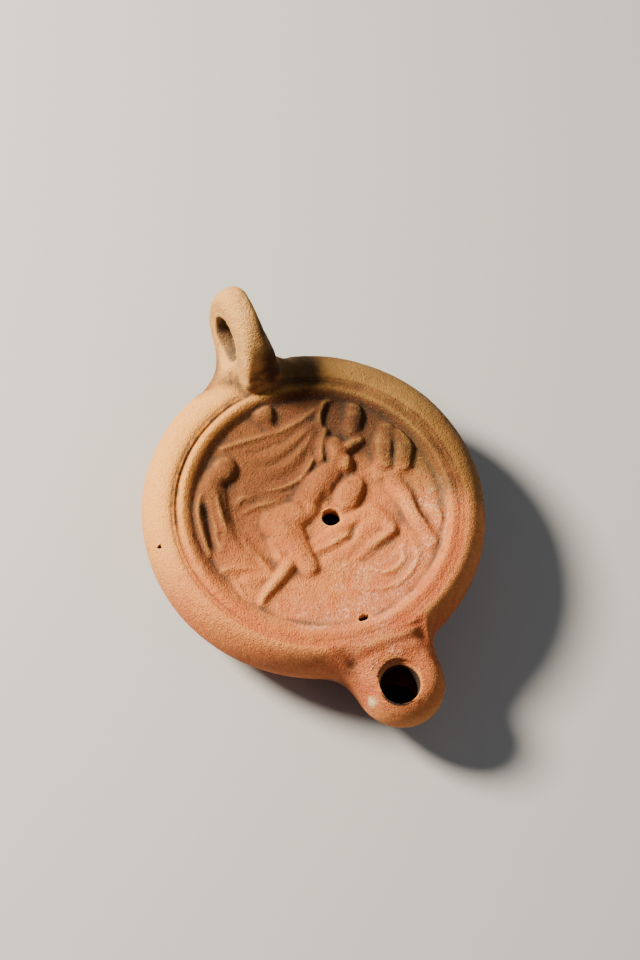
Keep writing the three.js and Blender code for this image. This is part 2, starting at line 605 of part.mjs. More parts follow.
const solid = (shell) => new wasm.Manifold(new wasm.Mesh({
  numProp: 3,
  vertProperties: new Float32Array(shell.points.flat()),
  triVerts: new Uint32Array(shell.faces.flat()),
}));

// an upright cutter from rings of radius and height
function cutter(x, y, rings, points, squash = 1) {
  const shell = new Shell();
  let below = null;
  for (const [r, z] of rings) {
    const ring = shell.ring(points, (u) => [
      x + r * Math.sin(2 * Math.PI * u), y + r * squash * Math.cos(2 * Math.PI * u), z]);
    if (below) shell.join(below, ring); else shell.cap(ring, shell.add(x, y, z), true);
    below = ring;
  }
  shell.cap(below, shell.add(x, y, rings[rings.length - 1][1]));
  return solid(shell);
}

// a straight V-bottomed groove across the nozzle's top
function bar({ y, from, to, wide, deep }) {
  const shell = new Shell();
  const flat = nozzleTop(y);
  for (const x of [from, to]) {
    for (const [cy, z] of [[0, flat - deep], [wide, flat + deep], [0, flat + 4], [-wide, flat + deep]]) {
      shell.add(x, y + cy, z);
    }
  }
  shell.faces.push([0, 3, 2], [0, 2, 1], [4, 5, 6], [4, 6, 7]);
  for (let i = 0; i < 4; i += 1) {
    const k = (i + 1) % 4;
    shell.faces.push([i, k, k + 4], [i, k + 4, i + 4]);
  }
  return solid(shell);
}

let lamp = solid(outerShell()).add(solid(handleShell())).subtract(solid(cavityShell()));
const nozzleZ = nozzleTop(WICK_Y);
lamp = lamp.subtract(cutter(WICK_X, WICK_Y, [[WICK_R, NOZZLE_WIDEST_Z],
  [WICK_R, nozzleZ - WICK_BEVEL], [WICK_R + WICK_BEVEL, nozzleZ + 0.05], [WICK_R + WICK_BEVEL, SHOULDER_Z]], 28));
lamp = lamp.subtract(cutter(FILL_X, FILL_Y, [[FILL_R, WIDEST_Z], [FILL_R, HOLE_Z]], 18));
lamp = lamp.subtract(cutter(AIR_X, AIR_Y, [[AIR_LONG, WIDEST_Z], [AIR_LONG, HOLE_Z]], 8, AIR_SHORT / AIR_LONG));
for (const groove of BAR_GROOVES) lamp = lamp.subtract(bar(groove));

const mesh = lamp.getMesh();
const geometry = new THREE.BufferGeometry();
geometry.setAttribute('position', new THREE.BufferAttribute(new Float32Array(mesh.vertProperties), 3));
geometry.setIndex(new THREE.BufferAttribute(new Uint32Array(mesh.triVerts), 1));
geometry.computeVertexNormals();

const clay = new THREE.MeshStandardMaterial({ color: 0xc98a62, roughness: 0.95, metalness: 0 });
const body = new THREE.Mesh(geometry, clay);
body.name = 'lamp';

const group = new THREE.Group();
group.name = 'oil_lamp';
group.add(body);
export default group;
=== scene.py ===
"""Terracotta oil lamp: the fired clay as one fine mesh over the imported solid, with its stage."""

import math

import bpy
import numpy as np
from bpy.props import FloatProperty, FloatVectorProperty, IntProperty, PointerProperty
from mathutils import Matrix, Vector


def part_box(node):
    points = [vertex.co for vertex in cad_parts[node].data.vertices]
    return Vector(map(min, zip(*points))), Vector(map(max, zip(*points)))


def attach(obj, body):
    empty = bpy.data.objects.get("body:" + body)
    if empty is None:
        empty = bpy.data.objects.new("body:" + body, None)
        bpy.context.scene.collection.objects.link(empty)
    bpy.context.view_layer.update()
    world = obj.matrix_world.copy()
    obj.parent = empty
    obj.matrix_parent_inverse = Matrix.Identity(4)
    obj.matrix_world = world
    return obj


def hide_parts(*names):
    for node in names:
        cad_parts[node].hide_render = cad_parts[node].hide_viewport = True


bl_info = {
    "name": "Terracotta Oil Lamp",
    "version": (1, 0, 0),
    "blender": (4, 5, 0),
    "location": "View3D > Sidebar > Oil Lamp",
    "description": "Builds a worn mould-made oil lamp with a figured discus, and its stage",
    "category": "Add Mesh",
}

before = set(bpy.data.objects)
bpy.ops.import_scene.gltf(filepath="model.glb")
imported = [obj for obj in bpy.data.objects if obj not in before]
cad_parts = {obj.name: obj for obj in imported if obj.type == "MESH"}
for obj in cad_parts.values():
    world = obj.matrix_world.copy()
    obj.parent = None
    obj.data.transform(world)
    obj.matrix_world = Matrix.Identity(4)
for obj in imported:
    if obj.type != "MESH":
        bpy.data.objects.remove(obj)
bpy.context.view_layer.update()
LOW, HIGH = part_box("lamp")
MM = 0.001

# body, in millimetres; the outline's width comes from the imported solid
BODY_R = (HIGH[0] - LOW[0]) / 2 / MM
BODY_X = (HIGH[0] + LOW[0]) / 2 / MM
BODY_Y = 2.9
WIDEST_Z = 17.0
SHOULDER_Z = 26.7
BASE_R = 21.0
BASE_GROOVE_R = 17.2
BASE_GROOVE_WIDE = 1.4
BASE_GROOVE_DEEP = 0.7
BASE_HALF = BASE_GROOVE_WIDE / 2
BASE_SIDE = BASE_GROOVE_DEEP * 0.8
BASE_ROWS = ((19.6, 0), (18.6, 0), (BASE_GROOVE_R + BASE_HALF, 0), (BASE_GROOVE_R + BASE_HALF / 2, BASE_SIDE),
             (BASE_GROOVE_R, BASE_GROOVE_DEEP), (BASE_GROOVE_R - BASE_HALF / 2, BASE_SIDE),
             (BASE_GROOVE_R - BASE_HALF, 0), (15, 0), (12, 0), (9, 0), (6, 0), (3, 0))
WALL = 4.2

# the hollow: its roof's rings as shares of the way out, and its rows from there down to the floor
CAVITY_SHARES = (0.2, 0.4, 0.6, 0.72, 0.8, 0.84, 0.88, 0.91, 0.94, 0.965, 0.985, 1.0)
CAVITY_ROWS = 12
CAVITY_LOWER = 1.0
CAVITY_BASE_R = BASE_R - WALL * 0.6
CAVITY_ROUND = 6.0

# discus, its ring and the groove outside it
DISCUS_Z = 22.4
DISCUS_DISH = 1.6
DISCUS_THICK = 3.0
SLOPE_R = 29.2
SLOPE_EASED = 1.8
SLOPE_SHORT = 0.3
EASED_SIDE = math.radians(190)
RING_R = 32.7
RING_Z = 27.0
RING_WIDE = 0.55
GROOVE_R = 34.2
GROOVE_DEEP = 0.95
GROOVE_GAP = 0.95
GROOVE_WIDE = 0.36
SECOND_SHARE = 0.8
SECOND_WIDE = 0.3
EDGE_R = 35.4
WORN = 0.2
CRISP_SIDE = math.radians(135)
FIGURES_R = 31.2
FIGURES_SOFT = 0.49
FIGURES_FADE = 1.5
FIGURES_PROUD = 1.05

# nozzle
NECK_X = 0.9
NOZZLE_X = 2.2
NOZZLE_NECK_Y = -37.0
NOZZLE_NECK_R = 11.2
NOZZLE_TIP_Y = -45.5
NOZZLE_TIP_R = 10.1
NOZZLE_TOP_Z = 24.6
NOZZLE_DROP = 0.9
NOZZLE_WIDEST_Z = 15.5
NOZZLE_EDGE = 5.0
NECK_FILLET = 5.0
NOZZLE_HALF_ANGLE = 20.0
NOZZLE_FADE = 0.45
NOZZLE_LEAVES = 2.2
NOZZLE_CROWDED = 0.75
# grooves across the neck: y, both ends in x, width and depth
BAR_GROOVES = ((-38.5, -10.5, 11.0, 1.1, 0.5), (-35.8, 2.0, 12.0, 0.5, 0.28))

# holes, and the nick on the left shoulder
WICK = (0.2, -47.0)
WICK_R = 4.6
WICK_BEVEL = 0.6
FILL = (2.6, -2.2)
FILL_R = 2.35
AIR = (-1.3, -29.2)
AIR_LONG = 1.45
AIR_SHORT = 0.95
NICK = (-38.3, 5.5)
NICK_ROWS = ((0.8, 21.2), (1.0, 22.4), (1.15, 25))

# handle: a plate in the YZ plane around a finger hole
HANDLE_X = -0.05
HANDLE_TOP_Z = 45.4
HANDLE_R = 12.9
HOLE_Y = 47.5
HOLE_Z = HANDLE_TOP_Z - HANDLE_R
HOLE_R = 5.4
# its rim by angle, and its half thickness by level, as shares of radius and half thickness
RIM = [(0, 0.85), (30, 0.9), (58, 0.99), (88, 1), (115, 1.005), (140, 0.975), (165, 0.96), (185, 1.008),
       (205, 1.2), (228, 1.433), (250, 1.627), (268, 1.59), (286, 1.256), (305, 1.02), (330, 0.9)]
HANDLE_HALF = 4.8
LEFT_SIDE = [(-1.9, 1.08), (-0.96, 1.06), (-0.42, 1.02), (0.04, 0.92), (0.58, 0.8), (1.04, 0.7)]
RIGHT_SIDE = [(-1.9, 1.08), (-0.96, 1.18), (-0.42, 1.25), (0.27, 0.92), (0.64, 0.64), (1.04, 0.6)]
LEFT_TAPER = 0.12
FILLET_LEFT = 8.0
FILLET_RIGHT = 4.5
FILLET_FROM_Y = 36.5
FILLET_FULL_Y = 43.0
FILLET_ROUNDS = 5
FILLET_STEP = 0.6
EDGE_FRONT = 5.0
EDGE_BACK = 2.3
EDGE_HOLE = 9.0
FRONT_DEGREES = 175
FRONT_SPREAD = 75

# softening of the handle's seam, in metres
SEAM_FROM_Y = 0.028
SEAM_HALF_X = 0.016
SEAM_PASSES = 14
SEAM_KEEP = 0.3
SEAM_BLOCK = 2000
CLAY_PARTS = ("clay_shell", "clay_handle")

# grain of the clay, which leaves the underside flat, and its surface
GRAIN_INPUTS = ("Swell Size", "Swell Height", "Grain Size", "Grain Height", "Pit Size", "Pit Depth")
GRAIN_SEED = 4.0
GRAIN_FROM_Z = 0.0008
GRAIN_FULL_Z = 0.003
# marks of the hollows, narrow and broad, by the passes they are spread over
HOLLOW_SPREADS = (("hollow_fine", 6), ("hollow_broad", 60))
BUMP_DISTANCE = 0.0006
CLAY_ROUGH = 0.88
CLAY_SHINE = 0.3

# the photograph's camera, fitted to the ring and the outline
CAMERA_AZIMUTH = -32.47
CAMERA_ELEVATION = 64.79
CAMERA_ROLL = 9.345
CAMERA_AWAY = 0.4894
CAMERA_TARGET = (0.0048, 0.00903, 0.020)
CAMERA_LENS = 75.0

# stage: each light's place, size and colour; both aim at the same point
LIGHT_TARGET = (0, 0, 0.02)
KEY_LIGHT = ((-0.41, 0.385, 0.49), 0.2, (1.0, 0.91, 0.76))
FILL_LIGHT = ((0.35, -0.35, 0.55), 0.5, (1.0, 0.98, 0.96))
SKY_COLOUR = (0.78, 0.88, 1.0, 1.0)
FLOOR_HALF = 1.5
FLOOR_SINK = 0.0002
FLOOR_ROUGH = 0.9


def ease(t):
    s = np.clip(t, 0, 1)
    return s * s * (3 - 2 * s)


def bell(v, width):
    return np.exp(-((v / width) ** 2))


def mix(a, b, t):
    return a + (b - a) * t


def lookup(table, at):
    """A table of places and values, read with an eased step between its rows."""
    places = np.array([row[0] for row in table], float)
    values = np.array([row[1] for row in table], float)
    at = np.clip(np.asarray(at, float), places[0], places[-1])
    i = np.clip(np.searchsorted(places, at) - 1, 0, len(places) - 2)
    return mix(values[i], values[i + 1], ease((at - places[i]) / (places[i + 1] - places[i])))


def soft_max(a, b, k=0.35):
    return np.maximum(a, b) + np.maximum(k - np.abs(a - b), 0) ** 2 / (4 * k)


def curve(points, n=5):
    """A smooth line through the points."""
    p = np.array(points, float)
    p = np.vstack([2 * p[0] - p[1], p, 2 * p[-1] - p[-2]])
    out = []
    for i in range(1, len(p) - 2):
        a, b, c, d = p[i - 1:i + 3]
        for t in np.arange(n) / n:
            out.append(0.5 * (2 * b + (c - a) * t + (2 * a - 5 * b + 4 * c - d) * t ** 2
                              + (3 * b - a - 3 * c + d) * t ** 3))
    return np.array(out + [p[-2]])


def nearest(line, x, y):
    """How far each place is from the line, and how far along it the nearest point lies, 0 to 1."""
    best = np.full(x.shape, 1e9)
    at = np.zeros(x.shape)
    for i in range(1, len(line)):
        ax, ay = line[i - 1]
        dx, dy = line[i] - line[i - 1]
        t = np.clip(((x - ax) * dx + (y - ay) * dy) / (dx * dx + dy * dy + 1e-12), 0, 1)
        d = np.hypot(x - ax - t * dx, y - ay - t * dy)
        closer = d < best
        best = np.where(closer, d, best)
        at = np.where(closer, i - 1 + t, at)
    return best, at / (len(line) - 1)


def limb(points, wide, high, edge=0.75):
    """A rounded form along a line, with half widths and heights at its points."""
    line = curve(points)
    spots = np.linspace(0, 1, len(points))

    def form(x, y):
        d, s = nearest(line, x, y)
        return np.interp(s, spots, high) * np.maximum(1 - (d / np.interp(s, spots, wide)) ** 2, 0) ** edge
    return form


def mound(cx, cy, rx, ry, turn, high, edge=0.6):
    """A rounded oval form, turned anticlockwise by degrees."""
    c, s = math.cos(math.radians(turn)), math.sin(math.radians(turn))

    def form(x, y):
        u = ((x - cx) * c + (y - cy) * s) / rx
        v = (-(x - cx) * s + (y - cy) * c) / ry
        return high * np.maximum(1 - u * u - v * v, 0) ** edge
    return form


def cut(points, wide, deep):
    """A soft groove along a line, fading at its ends."""
    line = curve(points)

    def groove(x, y):
        d, s = nearest(line, x, y)
        return deep * np.clip(np.minimum(s, 1 - s) / 0.2, 0.25, 1) * bell(d, wide)
    return groove


def figure(forms, cuts):
    def height(x, y):
        h = np.zeros(x.shape)
        for form in forms:
            h = soft_max(h, form(x, y))
        for groove in cuts:
            h = h - groove(x, y)
        return h
    return height


# cloth billowing over the group
VEIL = figure([
    limb([(-14, 19), (-7, 17.5), (0, 18), (7, 20.5)], [5.5, 6.5, 6, 3.5], [0.9, 1.1, 1.2, 1.2], 0.4),
    limb([(-13, 12.4), (-6, 12.8), (2, 14.5)], [3.6, 4.4, 3.6], [0.8, 0.9, 1], 0.45),
    limb([(-15, 23.8), (-9, 23.6), (-2, 23), (4, 23.4), (10, 24.8), (14, 26)],
         [0.9, 1.3, 1.4, 1.5, 1.4, 1], [1.2, 1.5, 1.4, 1.5, 1.6, 1.3]),
    limb([(-12, 18.6), (-6, 17.6), (0, 18.4), (5, 20.2), (9.5, 21.6)],
         [1, 1.6, 1.7, 1.4, 1], [1.1, 1.3, 1.35, 1.4, 1.3]),
    limb([(-8, 14.4), (-3, 14.2), (2, 16), (7.5, 19.6)], [1, 1.5, 1.4, 1], [1, 1.25, 1.4, 1.4]),
    limb([(-12, 10.4), (-6, 9.3), (-1, 9.6), (2.2, 11.4), (4.6, 13.4)],
         [0.6, 0.9, 1, 1, 0.8], [0.9, 1.3, 1.5, 1.6, 1.5]),
], [
    cut([(-11, 20.6), (-5, 20), (1, 20.8), (7, 22.4)], 0.7, 0.5),
    cut([(-9, 16), (-3, 15.8), (3, 18), (7, 20.4)], 0.6, 0.5),
    cut([(-8, 12), (-3, 11.8), (1.6, 13.4), (5.4, 16.6)], 0.6, 0.5),
])

# small bust above the cloth
BUST = figure([
    mound(-1.9, 28.8, 2.9, 3.5, 15, 2.4, 0.5),
    limb([(-2, 26.6), (-1.8, 24.6)], (1.8, 1.6), [1.5, 1.1]),
    limb([(-8.2, 24.6), (-5, 25.4), (-2.6, 25.2)], [0.6, 0.9, 1.2], [0.4, 0.7, 1.1]),
], [
    cut([(-4.6, 26.8), (-4, 25.4), (-2.6, 24.6)], 0.4, 0.6),
    cut([(1.2, 29.4), (0.2, 26.8)], 0.6, 0.4),
])

# draped attendant stooping at the left
ATTENDANT = figure([
    limb([(-22, 14), (-24.2, 8), (-24.4, 2), (-23, -4)], [4, 4.6, 5, 5.4], [2, 2.1, 1.9, 1.4], 0.5),
    limb([(-22.5, -2), (-21, -8.5)], (5.2, 4.2), (1.3, 1.2), 0.45),
    mound(-16.8, 18.4, 3.9, 3.3, 35, 2.9, 0.45),
    limb([(-19, 17.6), (-21.6, 14.8), (-23, 11)], [2.8, 3.2, 3.3], [2.3, 2.5, 2.4], 0.55),
    limb([(-24.5, 14.2), (-27.2, 10), (-28.4, 4), (-28.8, -1)], [1.5, 1.5, 1.3, 1], [2.2, 2.7, 2.3, 1.5]),
    limb([(-21.2, 13.6), (-22.4, 8), (-22.9, 3)], [1.6, 1.7, 1.5], [2.6, 2.8, 2.1]),
    limb([(-28.6, -6.3), (-26.6, -5.8), (-23, -6.9), (-19.6, -8.4)],
         [0.7, 1.1, 1.1, 0.9], [0.7, 1.5, 1.6, 1.4]),
    limb([(-19.2, -3), (-17.9, -7), (-17.3, -10.6)], [1.6, 1.7, 1.6], [1.2, 1.4, 1.3]),
    limb([(-22.5, -9), (-18, -11)], (1.6, 1.2), [1.2, 1.1]),
    limb([(-25.2, -9.5), (-25.2, -13), (-23.8, -15.8)], [0.9, 1, 1], [0.7, 1, 0.9]),
    limb([(-17.4, 9.2), (-15.6, 10.2), (-13.2, 9.8)], [1.2, 1.2, 1], [1.1, 1.3, 1]),
    limb([(-16.4, 6.6), (-12.5, 7), (-8, 6.4)], [0.8, 1.1, 0.9], [0.9, 1.1, 0.9]),
], [
    cut([(-24.4, 12.4), (-25.6, 7.5), (-26.8, 2), (-27, -1.5)], 0.75, 1.4),
    cut([(-24.4, 3.4), (-25, 0.6)], 0.6, 0.6),
    cut([(-20, 8), (-20.6, 2), (-20, -4)], 0.7, 0.4),
    cut([(-26, -8), (-22, -8.6), (-19.4, -10.6)], 0.8, 0.4),
])

# kneeling figure in the middle, leaning to the upper right
KNEELING = figure([
    limb([(-1.2, 3.8), (2.8, 6.4), (7, 8.6)], [3.7, 3.9, 3.2], [2, 2.4, 2.1], 0.5),
    mound(10.7, 13, 4.3, 3, 82, 2.9, 0.45),
    mound(11.4, 9.4, 2.5, 2.7, 0, 2.7, 0.5),
    limb([(12, 12.8), (14.4, 13.1), (17, 13.4)], [1.9, 1.7, 1.4], [2.5, 2.5, 1.9], 0.5),
    limb([(-10, 0.8), (-5.6, 1.4), (-1.5, 2)], [4.6, 4, 2.8], [2.2, 2.4, 1.9], 0.5),
    limb([(-9.2, -0.5), (-8.6, -6.5), (-7.7, -12.2)], [4.8, 3.8, 2.6], [2.6, 2.5, 2], 0.5),
    limb([(-12.6, -3), (-13, -7.8)], (2.2, 2.2), [1.4, 1.6]),
    limb([(-11.6, -9.6), (-16, -12.6), (-20.2, -15), (-22, -16.6)], [2.3, 1.9, 1.5, 1.2], [2.1, 2, 1.7, 1.4]),
    limb([(-22.2, -16.6), (-24.6, -15.2)], (0.9, 0.8), [1.1, 0.7]),
    limb([(10.1, 19), (8.4, 16.4), (6.4, 12.8)], [1.5, 1.9, 1.6], [1.8, 2, 1.7]),
], [
    cut([(-3.6, 4.6), (-2.6, 2.6), (-2.6, 0.6)], 0.7, 0.5),
    cut([(8.6, 15.6), (8.2, 13), (7.2, 11)], 0.5, 0.8),
    cut([(16.6, 10.6), (14.7, 9), (12.4, 6.8)], 1.4, 1.1),
    cut([(0.2, 0.6), (2.4, 2.4), (4.4, 4.6)], 1.1, 0.7),
])

# companion behind, with an arm raised over the cloth's end
COMPANION = figure([
    limb([(19.8, 23.2), (18.5, 20), (16.4, 16.6)], [2.1, 2.8, 2.3], [1.6, 2.6, 1.9], 0.6),
    limb([(17, 15.4), (18.4, 13.4)], (2.6, 2), [1, 0.8]),
    limb([(9.4, 19.6), (10.4, 22.8), (12.6, 25.4), (15.2, 26.2), (17.4, 25.2)],
         [1.1, 1.3, 1.3, 1.1, 0.8], [1.5, 2, 1.9, 1.4, 0.6]),
], [
    cut([(13.8, 23.8), (13, 21.4), (12.3, 18.8)], 1.5, 0.7),
    cut([(17.6, 24.2), (15.9, 21), (14.2, 17.4)], 0.5, 0.5),
    cut([(21.8, 21.4), (22.2, 18.2), (23.2, 15.8)], 0.8, 1.2),
])

# figure lying across the lower part with a knee drawn up
RECLINING = figure([
    mound(9.3, 1.6, 5.2, 3.6, 36, 2.4, 0.4),
    limb([(-4.5, -7.6), (1.5, -6.6), (7, -5.2), (12.4, -4.6)], [2.2, 2.4, 2.6, 2.4], [1, 1.5, 1.5, 1.2], 0.6),
    limb([(-4, -9), (0, -8.8), (3.8, -8.1)], [1.3, 1.6, 1.3], [1.3, 1.9, 1.8]),
    limb([(-3, -12.6), (3, -11.4), (8.6, -8.8), (12.4, -7.4)],
         [2.4, 2.8, 3.6, 3.4], [0.9, 1.4, 1.7, 1.6], 0.55),
    limb([(14.2, -10.4), (13, -6)], (2.4, 2.4), (2, 1.3), 0.55),
    limb([(14.4, -11.4), (8.6, -12.6), (4.2, -14.4), (-4, -15.2)],
         [1.5, 1.7, 1.6, 1.4], [2.1, 1.7, 1.1, 0.5], 0.55),
], [
    cut([(2.4, -9.9), (4.8, -9.3), (6.2, -7.2), (8.4, -6.2)], 0.5, 0.8),
    cut([(4.2, -16.2), (6.6, -14.9)], 0.4, 0.6),
    cut([(9.4, -2.4), (13, 0.6), (15.3, 3.8)], 0.65, 0.8),
])

# figure at the right: a shape of two lobes above, a leg below
WINGED = figure([
    limb([(24.4, 13.6), (22, 10), (20.1, 5.8)], [2.2, 2.9, 2.6], [1.6, 2.6, 2.1], 0.4),
    limb([(26.5, 11.2), (26.1, 7.6), (24.2, 3.8)], [1.9, 2.8, 2.5], [1.5, 2.4, 1.9], 0.4),
    limb([(18.2, 7), (17.8, 3.8), (20.4, 2.2), (24, 2.8)], [1.8, 2, 1.8, 1.6], [0.8, 1.1, 1.2, 1]),
    limb([(20, 0), (21, -4.6), (21, -10), (22.2, -17.6)], [2.6, 2.3, 2.1, 1.8], [1.4, 2.2, 2.1, 1.4], 0.45),
    mound(26.2, -11.8, 2, 4.4, 8, 1.4, 0.45),
], [
    cut([(24.4, 10), (23.6, 7.6), (22.2, 5.2)], 0.5, 0.5),
    cut([(16.2, 1.9), (18.8, 1.5)], 0.45, 0.5),
    cut([(23.9, -4.2), (23.1, -8.6), (23.7, -12), (24.6, -16)], 0.5, 1.2),
    cut([(18, 14.6), (17.4, 11), (18.2, 7.4)], 0.7, 0.5),
])

# faint ledges of the couch under the group
COUCH = figure([
    limb([(-14, -17.6), (-6, -17.2), (2, -17), (10, -17.8)], [2, 2.4, 2.4, 2], [0.3, 0.5, 0.5, 0.3]),
    limb([(-16, -21), (-6, -22.6), (4, -22.4), (14, -19.4)], [2.2, 2.6, 2.6, 2], [0.25, 0.4, 0.45, 0.3]),
    limb([(5, -18.4), (11, -18), (16.4, -14.6), (18.4, -9)], [0.8, 1, 1, 0.8], [0.3, 0.45, 0.45, 0.3]),
], [
    cut([(-3.4, -21), (-1.4, -23.5), (0, -27.4)], 0.4, 0.3),
    cut([(-13.6, 16.6), (-13, 14.4), (-14, 12.6)], 1.6, 0.7),
])

FIGURES = [VEIL, BUST, ATTENDANT, COMPANION, WINGED, RECLINING, KNEELING, COUCH]

# faint folds of the couch's cover, too fine for the solid
COVER = figure([
    limb([(-2.5, -18.7), (3.2, -23), (11, -24.2), (17.4, -19.8), (17.8, -15)],
         [0.9, 1, 1, 1, 0.8], [0.6, 1, 1.1, 1, 0.6]),
    limb([(3.1, -15.6), (8.3, -20.4), (13.4, -19.6), (15, -16)], [0.8, 1, 1, 0.8], [0.8, 1.2, 1.2, 0.8]),
    limb([(-19, -21.2), (-14, -23.6), (-8, -25.4)], [1, 1.1, 0.9], [0.6, 0.9, 0.7]),
    limb([(-9.4, 8.4), (-4, 7.4), (-0.6, 8)], [0.7, 0.8, 0.6], [0.4, 0.7, 0.5]),
], [
    cut([(6.6, -16.6), (9.4, -18), (12, -16.8)], 0.6, 0.35),
    cut([(-10, 24.9), (-3, 24.6), (4, 25.2)], 0.4, 0.3),
    cut([(-6, 22.2), (2, 22.2), (8, 24)], 0.3, 0.3),
])

# the relief's field, in millimetres
GRID_STEP = 0.25
GRID_HALF = 33.0


def blur(grid, width):
    """The grid evened by a bell of that width in millimetres."""
    span = int(3 * width / GRID_STEP) + 1
    weights = bell(np.arange(-span, span + 1) * GRID_STEP, width)
    weights /= weights.sum()
    for axis in (0, 1):
        padded = np.pad(grid, [(span, span) if a == axis else (0, 0) for a in (0, 1)], mode="edge")
        length = grid.shape[axis]
        grid = sum(w * np.take(padded, range(i, i + length), axis) for i, w in enumerate(weights))
    return grid


def sample(grid, x, y):
    """The grid's value at each place, straight between its points."""
    u = np.clip((x + GRID_HALF) / GRID_STEP, 0, grid.shape[1] - 1.001)
    v = np.clip((y + GRID_HALF) / GRID_STEP, 0, grid.shape[0] - 1.001)
    i, j = u.astype(int), v.astype(int)
    a, b = u - i, v - j
    return ((grid[j, i] * (1 - a) + grid[j, i + 1] * a) * (1 - b)
            + (grid[j + 1, i] * (1 - a) + grid[j + 1, i + 1] * a) * b)


def relief_grid():
    side = np.arange(-GRID_HALF, GRID_HALF + GRID_STEP / 2, GRID_STEP)
    x, y = np.meshgrid(side, side)
    high = np.zeros(x.shape)
    for form in FIGURES + [COVER]:
        high = soft_max(high, form(x, y))
    return FIGURES_PROUD * blur(high, FIGURES_SOFT)


RELIEF = relief_grid()


def facing(angle, side):
    """One towards the side, easing to nothing opposite it."""
    return 0.5 + 0.5 * np.cos(angle - side)


def discus_height(x, y):
    """Height of the top inside the shoulder's inner edge."""
    r = np.hypot(x, y)
    angle = np.arctan2(y, x)
    crisp = mix(WORN, 1.0, facing(angle, CRISP_SIDE) ** 3)
    foot = SLOPE_R - SLOPE_EASED * facing(angle, EASED_SIDE) ** 2
    floor = DISCUS_Z + DISCUS_DISH * np.minimum(r / SLOPE_R, 1) ** 2
    rise = mix(floor, SHOULDER_Z, ease((r - foot) / (RING_R - SLOPE_SHORT - foot)))
    figures = sample(RELIEF, x, y) * ease((FIGURES_R - r) / FIGURES_FADE)
    second = SECOND_SHARE * bell(r - GROOVE_R - GROOVE_GAP, SECOND_WIDE)
    ring = ((RING_Z - SHOULDER_Z) * bell(r - RING_R, RING_WIDE)
            - GROOVE_DEEP * (bell(r - GROOVE_R, GROOVE_WIDE) + second))
    return soft_max(rise, floor + figures) + crisp * ring


def plan_distance(x, y):
    """Signed distance to the outline seen from above, negative inside."""
    body = np.hypot(x - BODY_X, y - BODY_Y) - BODY_R
    t = np.clip((NOZZLE_NECK_Y - y) / (NOZZLE_NECK_Y - NOZZLE_TIP_Y), 0, 1)
    nozzle = (np.hypot(x - mix(NECK_X, NOZZLE_X, t), y - mix(NOZZLE_NECK_Y, NOZZLE_TIP_Y, t))
              - mix(NOZZLE_NECK_R, NOZZLE_TIP_R, t))
    return -soft_max(-body, -nozzle, NECK_FILLET)


def reach(angle, inset):
    """Where a ray from the middle meets the outline, inset by a distance."""
    near = np.full(angle.shape, 10.0)
    far = np.full(angle.shape, 80.0)
    for _ in range(40):
        r = (near + far) / 2
        inside = plan_distance(r * np.sin(angle), r * np.cos(angle)) + inset < 0
        near = np.where(inside, r, near)
        far = np.where(inside, far, r)
    return near * np.sin(angle), near * np.cos(angle)


def outline(u, inset=0.0):
    """The outline at shares of a turn from the back, evenly spaced by length round the nozzle."""
    half = math.radians(NOZZLE_HALF_ANGLE)
    start = math.pi - half
    fine = np.linspace(start, start + 2 * half, 481)
    fx, fy = reach(fine, inset)
    length = np.r_[0, np.cumsum(np.hypot(np.diff(fx), np.diff(fy)))]
    angle = 2 * math.pi * np.asarray(u)
    share = (angle - start) / (2 * half)
    x, y = reach(angle, inset)
    within = (share > 0) & (share < 1)
    want = np.clip(share, 0, 1) * length[-1]
    return (np.where(within, np.interp(want, length, fx), x),
            np.where(within, np.interp(want, length, fy), y))


def nozzle_share(u):
    """How far a share of a turn lies inside the nozzle, 0 on the body to 1."""
    return ease((NOZZLE_HALF_ANGLE - np.abs(np.asarray(u) - 0.5) * 360) / (NOZZLE_HALF_ANGLE * NOZZLE_FADE))


def nozzle_top(y):
    return NOZZLE_TOP_Z - NOZZLE_DROP * (y - NOZZLE_NECK_Y) / (NOZZLE_TIP_Y - NOZZLE_NECK_Y)


def on_circle(r, u):
    return r * np.sin(2 * math.pi * u), r * np.cos(2 * math.pi * u)


class Shell:
    """Points and triangles of one closed surface, in millimetres."""

    def __init__(self):
        self.points = []
        self.faces = []
        self.count = 0

    def add(self, x, y, z):
        block = np.stack(np.broadcast_arrays(np.atleast_1d(x), y, z), axis=1).astype(float)
        self.points.append(block)
        first = self.count
        self.count += len(block)
        return list(range(first, self.count))

    def zip(self, a, share_a, b, share_b, flip=False):
        """Triangles between two rows that run the same way, by their shares of the way."""
        i = j = 0
        while i < len(a) - 1 or j < len(b) - 1:
            step_a = j >= len(b) - 1 or (
                i < len(a) - 1 and share_a[i + 1] + share_a[i] <= share_b[j + 1] + share_b[j])
            face = (a[i], a[i + 1], b[j]) if step_a else (a[i], b[j + 1], b[j])
            self.faces.append(face[::-1] if flip else face)
            if step_a:
                i += 1
            else:
                j += 1

    def ring(self, n, place):
        """A closed ring of n points, and their shares of a turn."""
        u = np.arange(n) / n
        ids = self.add(*place(u))
        return ids + ids[:1], list(np.arange(n + 1) / n)

    def join(self, outer, inner, flip=False):
        self.zip(inner[0], inner[1], outer[0], outer[1], flip)

    def cap(self, ring, centre, flip=False):
        ids = ring[0]
        for i in range(len(ids) - 1):
            face = (ids[i + 1], ids[i], centre)
            self.faces.append(face[::-1] if flip else face)

    def object(self, name, material_index=0):
        mesh = bpy.data.meshes.new(name)
        mesh.from_pydata((np.concatenate(self.points) * MM).tolist(), [], self.faces)
        for slot in CLAY_PARTS:
            mesh.materials.append(bpy.data.materials.get(slot) or bpy.data.materials.new(slot))
        mesh.polygons.foreach_set("material_index", [material_index] * len(mesh.polygons))
        made = bpy.data.objects.new(name, mesh)
        bpy.context.scene.collection.objects.link(made)
        return made


